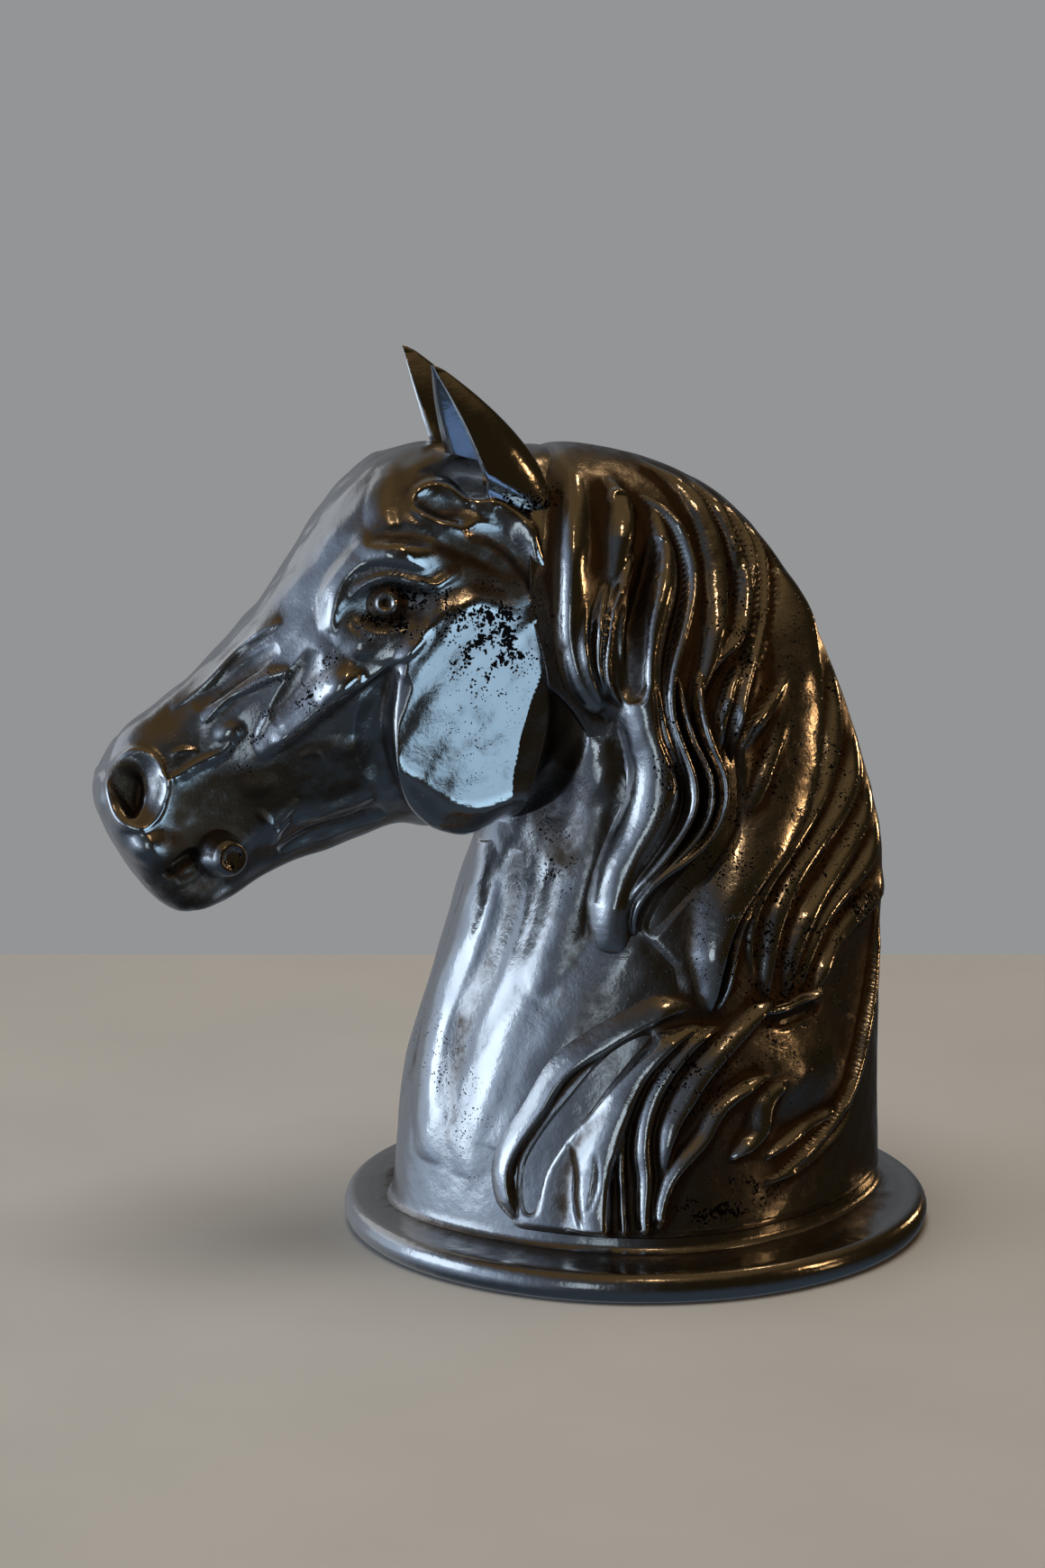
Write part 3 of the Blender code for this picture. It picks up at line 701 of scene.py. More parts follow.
# Where the casting is pitted: top of the cheek, ear's root, neck, face, cheek and eye, then the mane
PITTED = (
    Spot(0.95, (-64, 236), (32, 28), 20),
    Spot(0.9, (-47, 284), (20, 14), -30),
    Spot(0.45, (-40, 150), (14, 40), 12),
    Spot(0.32, (-76, 62), (16, 50), 8),
    Spot(0.5, (-132, 216), (40, 22), 40),
    Spot(0.5, (-152, 190), (14, 14)),
    Spot(0.22, (-74, 200), (36, 40)),
    Spot(0.9, (-98, 244), (27, 17), 12),
    Spot(0.9, (12, 28), (34, 14), 8),
    Spot(0.2, (44, 100), (40, 60)),
    Spot(0.3, (22, 240), (14, 40)),
    Spot(0.3, (-4, 190), (8, 36)),
    Spot(0.5, (80, 125), (26, 14), 10),
    Spot(0.6, (0, 74), (22, 22), 40),
    Spot(0.2, (66, 190), (16, 50)),
    Spot(0.42, (34, 160), (80, 170)),
)
# Where the head and neck were never rubbed bright: socket, temple, lips, nostril, neck, under the jaw
NEVER_RUBBED = (
    Spot(0.5, (-102, 247), (19, 12), 8, (1.15, 0.75)),
    Spot(0.9, (-68, 258), (24, 11), -28, (1.2, 0.6)),
    Spot(0.8, (-124, 184), (24, 17), 10, (1.2, 0.6)),
    Spot(0.9, (-160, 170), (26, 18), 25, (1.2, 0.6)),
    Spot(0.7, (-174, 146), (20, 15), -20, (1.2, 0.5)),
    Spot(0.9, (-193, 181), (7, 10), -8, (1.1, 0.7)),
    Spot(0.6, (-38, 172), (15, 34), 12, (1.1, 0.6)),
    Spot(0.5, (-36, 108), (15, 54), 14, (1.4, 0.3)),
    Spot(0.9, (-38, 216), (9, 34), 0, (1.2, 0.6)),
)
# Painted sheen on the mane: the cheek lock and the big lock are left less tarnished, so that they look lit
# brighter
PAINTED_SHEEN = (Spot(0.7, (-24, 234), (16, 36)), Spot(0.8, (-12, 172), (18, 70), -4))

# Front edge of the mane on the side of the neck: heights and how far back it lies there
MANE_EDGE_Z = (14, 44, 64, 84, 102, 114, 134, 160, 196, 203, 212, 240, 300)
MANE_EDGE_X = (-66, -63, -52, -36, -6, -8, -26, -18, -15, -24, -37, -41, -40)

MANE_LOCKS = (
    # the cheek lock, a bowl-ended bundle, and its strands
    Carving(((-30, 288), (-35, 266), (-37, 246), (-37, 230), (-33, 216), (-27, 206)),
            6, 12, 4.4, 0.35, 0.12),
    Carving(((-18, 284), (-15, 272), (-17, 260), (-21, 248)), (8, 11, 8), 5, 5.4, 0.4, 0.4),
    Carving(((-31, 246), (-32.5, 238), (-33, 231), (-32, 224), (-30, 217), (-26, 209)),
            5, 3, 6.0, 0.4, 0.25),
    Carving(((-23, 250), (-26, 242), (-27.5, 235), (-28, 228), (-27.5, 220), (-24, 211)),
            4, 2.4, 6.6, 0.4, 0.25),
    Carving(((-13, 260), (-17, 252), (-20, 246), (-23, 238), (-24.5, 229), (-25, 221), (-23, 214),
             (-19, 208)), 3.2, 1.8, 7.0, 0.3, 0.15),
    Carving(((-13, 248), (-16, 242), (-18, 235), (-18.5, 227), (-18, 219), (-16, 211)),
            2.2, 2.2, 3.0, 0.3, 0.2),
    # the big lock behind the cheek: a smooth front, a crisp back edge
    Carving(((-6, 276), (-3, 262), (-2, 252), (-4, 244), (-7, 236), (-10, 227), (-11, 218), (-10, 209),
             (-8, 200), (-5, 192), (-4, 183), (-5, 174), (-8, 165), (-13, 156), (-18, 147), (-21, 138),
             (-23, 129), (-24, 118)), (4, 14, 14), 9, 7.6, 0.2, 0.1),
    Carving(((-8, 277), (-3, 272), (1, 267), (4, 261), (6, 254), (7, 248), (6.5, 242), (4, 235), (2, 229),
             (-1, 221), (-3, 213), (-3, 205), (-1, 198), (2, 190), (4.5, 183), (5.5, 176), (5, 170),
             (2, 164), (-3, 156), (-9, 148), (-15, 141), (-19, 134), (-21, 127)), 5, 2.2, 8.4, 0.1, 0.12),
    Carving(((1, 218), (1.5, 208), (3, 199), (6, 191), (9.5, 184), (10.5, 176), (9.5, 168), (6, 161),
             (0, 154), (-7, 147), (-13, 140), (-18, 132)), 3, 2.2, 8.0, 0.2, 0.15),
    Carving(((9, 219), (8, 209), (8.5, 200), (11, 191), (14, 184), (15.5, 176), (14.5, 168), (11, 161),
             (6, 155.5), (0, 151), (-6, 146.5), (-12, 140), (-16, 132), (-17, 125)),
            4, 2.6, 8.4, 0.2, 0.12),
    # the broad face behind it, with broken edges
    Carving(((-3, 287), (3, 282), (8, 277), (12, 271), (15, 264), (17.5, 256), (18.5, 247), (18, 237),
             (16, 228), (13, 219), (9, 211), (6, 203)), (5, 10, 4), 4, 6.4, 0.15, 0.3),
    Carving(((13, 281), (18, 272), (22, 263), (25, 254), (27, 247), (28, 240), (27, 233), (25, 227),
             (20.5, 223), (16, 220), (12, 215)), 6.5, 2, 7.0, 0.2, 0.15),
    Carving(((25, 219), (21, 212), (18.5, 205), (17.5, 198), (18.5, 190)), 4, 4, 5.4, 0.25, 0.25),
    Carving(((17, 281), (24, 273), (28.5, 264), (30.5, 255), (31, 246), (30, 238), (29, 231)),
            5, 2, 6.6, 0.2, 0.3),
    Carving(((25, 274), (31, 265), (34, 257), (35, 249), (34.5, 240), (32.5, 231), (29.5, 222), (26.5, 214),
             (24, 207), (22, 199), (21.5, 191), (21, 183)), 4.5, 2, 7.4, 0.2, 0.15),
    Carving(((43, 214), (37.5, 205.5), (31.5, 200), (27, 195), (24.5, 189)), 2, 9, 4.6, 0.1, 0.3),
    Carving(((40, 208), (40.5, 197), (38.5, 188), (35, 180), (31, 172), (26, 165)), 8, 2, 4.6, 0.25, 0.3),
    # the long lock: a wide face that climbs to a crisp edge, then drops
    Carving(((34, 268), (40, 261), (45, 252), (48.5, 242), (50.5, 232), (51.5, 221), (51.5, 210),
             (51.5, 200), (51, 190), (50.5, 181), (49.5, 173), (46.5, 165), (42, 157.5), (37, 151.5),
             (31.5, 146), (26.5, 141), (22, 136), (18, 131), (15, 125.5), (13, 119), (11.5, 112),
             (10.5, 105), (9, 97)), (7, 26, 9), 2.2, 8.8, 0.12, 0.1, 1.8),
    Carving(((30, 140), (24.5, 133), (20.5, 126.5), (18, 119.5), (16, 112), (14, 104), (12, 98)),
            2.5, 2, 6.8, 0.3, 0.2),
    # strands down the back, to the loop
    Carving(((56, 246), (61, 233), (64, 221), (65, 209), (64.5, 198), (63, 187), (60.5, 177), (57, 169),
             (52, 162), (46, 155), (40, 148), (34, 141), (29, 134), (26, 126), (25, 117), (26, 109)),
            (5, 8, 5), 2.2, 6.0, 0.15, 0.3),
    Carving(((63, 236), (70, 222), (74.5, 210), (76.5, 199), (76, 189), (74, 180), (71, 171.5), (66.5, 164),
             (61, 157.5), (55, 151.5), (49, 145.5), (43.5, 139), (39, 132), (35.5, 124.5), (33.5, 116.5),
             (32, 108), (31, 97)), (4, 9, 8), 2.2, 6.6, 0.15, 0.2),
    Carving(((70, 229), (77, 216), (81.5, 204), (82, 193), (80, 183), (76.5, 174), (72, 165.5), (66.5, 158),
             (61, 152), (55, 147), (49, 141.5)), (3, 4.5, 3), 2.6, 5.2, 0.15, 0.4),
    Carving(((78, 220), (85, 206), (88, 192), (87, 178), (83.5, 168), (78.5, 160), (73, 152.5), (67, 145.5),
             (61, 138.5), (54, 131.5), (48, 124), (44, 116), (41, 107), (39, 97)),
            (4, 9, 7), 2.6, 6.8, 0.15, 0.2),
    Carving(((88, 204), (93, 188), (93.5, 174), (90.5, 162), (85.5, 152), (79.5, 143), (73.5, 136),
             (67, 131), (61, 126.5), (56, 120.5), (51, 112), (47, 102)), (5, 8, 5), 3.0, 6.0, 0.15, 0.3),
    Carving(((94, 186), (98, 168), (99, 152), (97, 138), (92, 128.5), (85, 123.5), (77, 120.5), (69, 117.5),
             (62, 112.5), (57, 106.5), (53, 100), (49, 95)), (6, 11, 4), 1.8, 5.6, 0.15, 0.1),
    Carving(((56, 98), (50, 96.5), (45, 96), (40, 95.3), (35, 94.6), (30, 95), (26, 97)),
            3, 1.6, 5.2, 0.15, 0.15),
    # lower locks, swept forward from under the loop
    Carving(((2, 100), (-5, 98), (-11, 95.5), (-17, 92), (-23, 88.5), (-28, 85), (-33, 81.5), (-38, 78),
             (-42, 74), (-45.5, 69), (-48.5, 63), (-52, 57), (-56.5, 50), (-60, 43), (-62, 36), (-61.5, 28),
             (-60, 21)), (10, 14, 8), 2.4, 3.0, 0.1, 0.06),
    Carving(((6, 93), (0, 90.5), (-5, 87), (-10, 82), (-14.5, 77), (-18, 71.5), (-20.5, 66), (-23, 60),
             (-25, 54), (-27.5, 47), (-29.5, 39.5), (-30.5, 32), (-31, 24), (-31, 16)),
            (5, 17, 20), 2.2, 7.0, 0.15, 0.03),
    Carving(((-19, 72), (-22, 62), (-24, 53), (-25, 44), (-25, 34), (-25, 25), (-24.5, 16)),
            2.6, 1.6, 5.6, 0.15, 0.04),
    Carving(((12, 92), (4, 88), (-3, 81), (-9, 73), (-13, 65), (-15.5, 57), (-16.5, 49), (-16, 42),
             (-16.5, 34), (-17.5, 26), (-17.5, 16)), (6, 9, 4), 2.6, 5.8, 0.1, 0.04),
    Carving(((34, 98), (27, 94.5), (22, 90), (15, 84), (8.5, 77.5), (3.5, 71.5), (0, 66), (-4, 60.5),
             (-8, 52), (-10, 44), (-11, 36)), (5, 12, 5), 2.2, 6.4, 0.1, 0.25),
    Carving(((31, 71.5), (25, 70), (19, 67.5), (13.5, 64), (9.5, 60), (7, 55.5), (4, 51), (0, 47), (-4, 43),
             (-7, 39), (-9.5, 34), (-11.5, 28), (-12.5, 20)), (4, 8, 5), 2.2, 6.0, 0.15, 0.06),
    Carving(((39, 70), (34, 65.5), (30, 61), (28.5, 56), (27, 51.5), (23.5, 48), (19, 45.5), (14, 43.5)),
            (4, 10, 4), 1.8, 5.4, 0.15, 0.2),
    Carving(((62, 53), (53, 50.5), (46, 49), (40, 46.5), (34, 43.8), (28, 41)),
            (3, 6, 3), 1.5, 4.6, 0.2, 0.2),
    Carving(((84, 124), (84.5, 112), (83, 100), (80.5, 90), (77.5, 82), (75, 75.5), (73, 69), (70.5, 63),
             (67.5, 57.5), (63, 52.5), (57, 48.5), (50.5, 44.5), (44.5, 41), (38.5, 37), (33, 34.5),
             (27, 33)), 1.8, (9, 9, 4), 5.4, 0.15, 0.15),
    Carving(((72, 53), (64, 46.5), (57, 42), (50, 38.5), (43.5, 36), (36.5, 34), (28, 32.5)),
            3, 2, 5.0, 0.2, 0.2),
)
MANE_CUTS = (
    Carving(((-5, 262), (-9, 253), (-12, 244), (-14, 235), (-15, 226), (-15.5, 217), (-15, 209)),
            5, 5, -4.0, 0.2, 0.1),
    Carving(((17, 206), (19.5, 192), (20.5, 180), (19.5, 170), (16.5, 161), (11, 154), (4, 147), (-3, 140),
             (-9, 132), (-14, 124)), 3.5, 6, -3.2, 0.2, 0.2),
    Carving(((31, 217), (27.5, 208), (25, 199), (23.5, 190)), 2.5, 3.5, -2.4, 0.2, 0.2),
    Carving(((22, 219), (17, 214), (13.5, 208), (12, 200), (13.5, 192)), 2.5, 3, -2.4, 0.2, 0.3),
    Carving(((-8.5, 214), (-7.5, 206), (-6, 197), (-3, 189), (0, 181), (1.5, 173), (0, 166), (-4, 159)),
            1.6, 1.4, -1.4, 0.2, 0.3),
    Carving(((-12, 90), (-20, 85), (-28, 78), (-34, 71), (-40, 63), (-46, 55), (-51, 47), (-55, 38),
             (-56, 30), (-56, 22)), 4.5, 6.5, -5.0, 0.2, 0.15),
    Carving(((-29.5, 238), (-30.5, 228), (-29, 220), (-26.5, 214)), 1.2, 1.2, -1.4, 0.2, 0.3),
    Carving(((-43, 52), (-40, 42), (-40, 31), (-38, 19)), 1.6, 1.6, -1.1, 0.4, 0.2),
    Carving(((-33, 48), (-33, 38), (-36, 27)), 1.4, 1.4, -0.8, 0.5, 0.4),
    Carving(((56, 92), (49, 91), (42, 90.3), (36, 89.8), (30, 91)), 3, 3, -1.6, 0.3, 0.3),
    Carving(((40, 266), (48, 253), (53, 243), (56, 231), (57.5, 218), (57.5, 204), (57, 190), (55, 178),
             (51, 167)), 3, 3, -2.6, 0.2, 0.3),
    Carving(((60, 240), (66, 228), (69, 218), (70.5, 208), (70, 196), (68, 184), (64, 173), (58, 164)),
            2.4, 2.4, -1.8, 0.2, 0.3),
    Carving(((29, 278), (36, 267), (39.5, 257), (40.5, 247), (39.5, 237), (36, 226), (32, 218)),
            3, 3, -2.2, 0.2, 0.3),
    Carving(((24, 262), (25.5, 252), (24, 243), (21, 235), (17, 229)), 1.3, 1.3, -0.9, 0.3, 0.3),
    Carving(((9, 268), (11, 257), (11, 246), (9, 235), (6, 225)), 1.3, 1.3, -0.9, 0.3, 0.3),
    Carving(((36, 264), (41, 259), (46, 252), (51, 246), (56, 239), (61, 231)), 1.6, 2.4, 1.4, 0.2, 0.2),
    Carving(((-20, 275), (-18, 278), (-15, 277), (-12, 273), (-11, 268)), 1.6, 1.6, 1.3, 0.2, 0.3),
    Carving(((37, 230), (36, 223), (33, 217), (29.5, 213)), 1.4, 1.2, 1.4, 0.2, 0.3),
)


@dataclass(frozen=True)
class Relief:
    """Everything carved on the plain form, as heights above it, and the state of its surface.

    Attributes:
        form: the plain form.
        cheek_face: how far the cheek's face stands from the middle of the head.
        sharpness: how crisp the valleys between locks are, to the millimetre.
        crest_lift: how far the upper mane stands up along its middle.
        mane_waves: share of the unevenness that shows in the mane.
    """

    form: PlainForm
    cheek_face: float = 47.0
    sharpness: float = 2.0
    crest_lift: float = 5.8
    mane_waves: float = 0.4

    def raised(self, lines: tuple[Carving, ...], points: Array, normals: Array) -> Array:
        """Sum of the heights that carved lines add over points of the form."""
        return sum(line.raised(self.form, points, normals) for line in lines)

    @staticmethod
    def head_forms(x: Array, z: Array) -> Array:
        """Hills, hollows and rims of the side of the head; the nostril's rim is a bell just outside it.

        Args:
            x: places along the bust.
            z: their heights.

        Returns:
            Heights, of the same shape.
        """
        nostril = oval(x, z, *NOSTRIL)
        rim = 1.5 * np.exp(-(((nostril - 1.08) / 0.13) ** 2))
        return spread(NOSTRIL_HOLLOWS, x, z, spread(HEAD_HILLS, x, z) + rim)

    def cheek(self, points: Array, normals: Array) -> Array:
        """The round cheek, brought out to a face that bows a little and turns under quickly at its rim.

        Args:
            points: points of the form, folded to the near side.
            normals: their normals.

        Returns:
            Heights, (n,): the distance along the normal to the face, inside an ellipse.
        """
        x, y, z = points.T
        centre = (-72, 207)
        radius = oval(x, z, centre, (33.5, 47))
        face = self.cheek_face - 3.0 * radius**2 - 0.06 * (x - centre[0])
        away = (face + y) / np.clip(-normals[:, 1], 0.7, 1)
        inside = smooth_step(1.0, 0.82, radius) * smooth_step(-30, -42, x)
        return np.clip(away, -3, 12) * inside * smooth_step(0.25, 0.8, -normals[:, 1])

    @staticmethod
    def behind_edge(x: Array, z: Array) -> Array:
        """How far a place lies behind the front edge of the mane."""
        return x - np.interp(z, MANE_EDGE_Z, MANE_EDGE_X)

    @staticmethod
    def unevenness(points: Array) -> Array:
        """Soft waves left by hand work: a sum of sines that run in several directions."""
        ways = np.array([[0.31, 0.22, 0.18], [-0.19, 0.37, 0.27], [0.44, -0.15, -0.33], [0.12, 0.55, -0.41],
                         [-0.62, 0.31, 0.47]])
        size = np.array([0.14, 0.12, 0.10, 0.07, 0.05])
        return (np.sin(points @ ways.T + np.arange(5)) * size).sum(1)

    def skin(self, points: Array, normals: Array) -> Array:
        """Height of the head's and neck's own carving.

        Args:
            points: points of the form, folded to the near side.
            normals: their normals.

        Returns:
            Heights, (n,).
        """
        x, y, z = points.T
        off_middle = smooth_step(3, 12, np.abs(y))
        head = self.raised(HEAD_CARVING, points, normals) + self.head_forms(x, z)
        carved = head * off_middle + self.raised(NECK_CARVING, points, normals) + self.cheek(points, normals)
        bare = 1 - smooth_step(-2, 8, self.behind_edge(x, z))
        waves = 0.4 + 0.6 * smooth_step(140, 175, z)
        return (carved * bare + waves * self.unevenness(points)) * smooth_step(15, 24, z)

    def mane(self, points: Array, normals: Array) -> tuple[Array, Array]:
        """Height of the mane: a smooth largest of its locks and its ground, ln(sum exp(k h)) / k, then cut.

        Towards the middle of the bust the locks flatten to a level crest, which stands up along the
        upper neck. At the foot they run out.

        Args:
            points: points of the form, folded to the near side.
            normals: their normals.

        Returns:
            Heights, (n,), and how raw the cuts leave the metal.
        """
        x, y, z = points.T
        inside = smooth_step(-1, 9, self.behind_edge(x, z))
        # the ground between the locks, with a swell low down, then the locks over it
        ground = -1.2 + 2.2 * inside + 3.2 * mound(oval(x, z, (46, 70), (24, 22), -30))
        total = np.exp(self.sharpness * ground)
        total += sum(lock.blend(self.form, points, normals, self.sharpness) for lock in MANE_LOCKS)
        height = np.log(total) / self.sharpness
        # the cuts, where there is metal to cut
        cut = self.raised(MANE_CUTS, points, normals)
        height = height + cut * smooth_step(0.2, 1.5, height)
        # how fully the locks show beside the middle, the level they sink to there, and where it stands up
        crest = smooth_step(2, 15 + 12 * smooth_step(235, 170, z), np.abs(y))
        level = 1.0 + 1.4 * smooth_step(285, 240, z) * smooth_step(60, 130, z)
        level = level * inside - 1.2 * (1 - inside)
        full = smooth_step(302, 266, z) * smooth_step(96, 150, z) * smooth_step(62, 14, np.abs(y))
        height = level + (height - level) * crest + self.crest_lift * full
        foot = smooth_step(15.5, 20, z)
        height = height * foot - 0.3 * (1 - foot) + self.mane_waves * self.unevenness(points) * foot
        return height, smooth_step(0.9, 3.0, -cut)

    @staticmethod
    def pitting(x: Array, z: Array) -> Array:
        """How pitted the casting is: a little all over, and more on its pitted spots."""
        return np.clip(spread(PITTED, x, z) + 0.1, 0, 1)

    @staticmethod
    def rawness(x: Array, z: Array) -> Array:
        """How raw the head and neck are where they were never rubbed bright."""
        return np.clip(spread(NEVER_RUBBED, x, z), 0, 1)

    @staticmethod
    def painted_sheen_raw_share(x: Array, z: Array) -> Array:
        """Share of the rawness left on the mane under the painted sheen, which makes the cheek lock and the
        big lock look lit brighter.
        """
        return 1 - np.clip(spread(PAINTED_SHEEN, x, z), 0, 0.8)

    @staticmethod
    def hollows(height: Array, rounds: int = 16) -> Array:
        """How far each point lies below its surroundings: 0 on an edge, a third on a face, 1 in a hollow.

        The surroundings are the heights after rounds of (1, 2, 1) / 4 across the grid and along it.

        Args:
            height: heights on the grid.
            rounds: rounds of blurring.

        Returns:
            The shares, on the grid.
        """
        blurred = height
        for _ in range(2 * rounds):
            middle = (blurred[:, :-2] + blurred[:, 2:] + 2 * blurred[:, 1:-1]) / 4
            blurred = np.concatenate([blurred[:, :1], middle, blurred[:, -1:]], 1).T
        return smooth_step(-0.7, 1.1, blurred - height)


# ---------------------------------------------------------------- skin pieces


class Side(Enum):
    """The two sides of the head."""

    NEAR = "near"
    FAR = "far"

    def turned(self, shell: Shell) -> Shell:
        """A near-side shell as it is on this side."""
        return shell if self is Side.NEAR else far_shell(shell)


# Rib number where the neck's skin gives way to the head's, and height of the foot's upper face
SEAM = 9.3
FOOT_TOP = 11.5


@dataclass
class Skin:
    """A stretch of the head and neck: rings round the ribs, moved along their normals by the relief.

    Attributes:
        relief: what is carved on it.
        start: rib number of its first ring.
        end: rib number of its last ring.
        rings: how many rings.
        around: points round each ring.
        sink: how far it sinks a whole rib past the seam.
        hollow_raw: how raw its hollows are.
    """

    relief: Relief
    start: float
    end: float
    rings: int
    around: int
    sink: float = 12.0
    hollow_raw: float = 0.75

    def loops(self) -> tuple[Array, Array]:
        """Rings of points on the plain form, evenly spread along it and round it, and their rib numbers."""
        form = self.relief.form
        number = form.stations(self.start, self.end, self.rings, 0.35, 3000)
        theta = np.arange(self.around) * 2 * np.pi / self.around
        numbers, angles = np.meshgrid(number, theta, indexing="ij")
        # the unit superellipse's reach at each angle turns even angles into even points round it
        square = form.rows(number)[:, 7][:, None]
        cos, sin = np.cos(angles), np.sin(angles)
        reach = (np.abs(cos) ** square + np.abs(sin) ** square) ** (-1 / square)
        even = np.arccos(np.clip(reach * cos, -1, 1)) * np.where(sin < 0, -1, 1)
        return form.point(numbers, even), number

    def carved(self, grid: Array, number: Array) -> tuple[Array, Array, Array]:
        """The rings with their relief, sunk past the seam so that the other stretch covers them.

        Args:
            grid: rings of points.
            number: their rib numbers.

        Returns:
            The moved rings, how raw and how pitted they are.
        """
        along = np.gradient(grid, axis=0)
        round_it = (np.roll(grid, -1, axis=1) - np.roll(grid, 1, axis=1)) / 2
        normals = np.cross(along, round_it)
        normals /= np.linalg.norm(normals, axis=-1, keepdims=True) + 1e-12
        points, flat = grid.reshape(-1, 3), normals.reshape(-1, 3)
        fold = near_side(points)
        height = self.relief.skin(points * fold, flat * fold).reshape(grid.shape[:2])
        # the neck ends a little past the seam, and the head starts a little short of it
        past = number - SEAM if self.start < SEAM - 1 else SEAM - number
        sunk = self.sink * np.clip(past, 0, None) ** 2
        x, z = grid[..., 0], grid[..., 2]
        raw = np.maximum(self.hollow_raw * self.relief.hollows(height), self.relief.rawness(x, z))
        return grid + normals * (height - sunk[:, None])[..., None], raw, self.relief.pitting(x, z)


@dataclass
class Neck(Skin):
    """The neck, with the cove that flares into the foot.

    Attributes:
        cove: radius of the cove.
        cove_raw: how raw it is.
        cove_pits: how pitted it is.
    """

    start: float = 0.0
    end: float = 9.65
    rings: int = 290
    around: int = 250
    cove: float = 4.2
    cove_raw: float = 0.35
    cove_pits: float = 0.15

    def cove_rings(self, neck_ring: Array) -> Array:
        """Rings that flare from inside the foot up to the neck's first ring in a quarter round.

        Args:
            neck_ring: the neck's first ring.

        Returns:
            The rings, from the innermost up.
        """
        plan = neck_ring * np.array([1, 1, 0])
        out = plan / np.linalg.norm(plan, axis=1, keepdims=True)
        buried = np.array([0, 0, FOOT_TOP * 0.4])
        rings = [plan * 0.5 + buried, plan + out * (self.cove - 0.3) + buried]
        for turn in np.radians(np.linspace(0, 76, 10)):
            rise = FOOT_TOP - 0.1 + (self.cove + 0.1) * (1 - np.cos(turn))
            rings.append(plan + out * self.cove * (1 - np.sin(turn)) + np.array([0, 0, rise]))
        return np.array(rings)

    def shell(self) -> Shell:
        """The neck's closed surface."""
        grid, raw, pits = self.carved(*self.loops())
        cove = self.cove_rings(grid[0])
        raw = np.concatenate([np.full(cove.shape[:2], self.cove_raw), raw])
        pits = np.concatenate([np.full(cove.shape[:2], self.cove_pits), pits])
        grid = np.concatenate([cove, grid])
        return ring_shell(grid, grid[0].mean(0), grid[-1].mean(0), raw, pits)


@dataclass
class Head(Skin):
    """The head, rounded off at the muzzle.

    Attributes:
        cap_rings: rings that round off the muzzle.
        bulge: how far the muzzle reaches ahead of the last rib.
    """

    start: float = 8.9
    end: float = 18.0
    rings: int = 278
    around: int = 330
    cap_rings: int = 22
    bulge: float = 11.5

    def cap(self, ring: Array) -> tuple[Array, Array]:
        """Rounds off the muzzle ahead of the last rib: rings shrink by cos^0.8 and move on by the sine.

        Args:
            ring: the head's last ring.

        Returns:
            The rings, and the point at the muzzle's tip.
        """
        last = self.relief.form.ribs[-1]
        inner, outer = (np.array([x, 0.0, z]) for x, z in (last.inner, last.outer))
        across = (outer - inner) / np.linalg.norm(outer - inner)
        ahead = np.array([-across[2], 0, across[0]])
        centre = (inner + outer) / 2
        turn = (np.arange(1, self.cap_rings + 1) / (self.cap_rings + 1) * np.pi / 2)[:, None, None]
        rings = centre + (ring - centre) * np.cos(turn) ** 0.8 + ahead * self.bulge * np.sin(turn)
        return rings, centre + ahead * self.bulge

    def shell(self) -> Shell:
        """The head's closed surface."""
        loops, number = self.loops()
        rings, tip = self.cap(loops[-1])
        number = np.concatenate([number, np.full(len(rings), self.end)])
        grid, raw, pits = self.carved(np.concatenate([loops, rings]), number)
        return ring_shell(grid, grid[0].mean(0), tip, raw, pits)


# Places that the front of the mane's sheet passes through, a little ahead of its front edge
SHEET_FRONT = ((-76, 17), (-74, 40), (-64, 64), (-52, 84), (-36, 100), (-40, 124), (-36, 150), (-30, 176),
               (-32, 196), (-46, 214), (-52, 240), (-50, 268), (-46, 288))


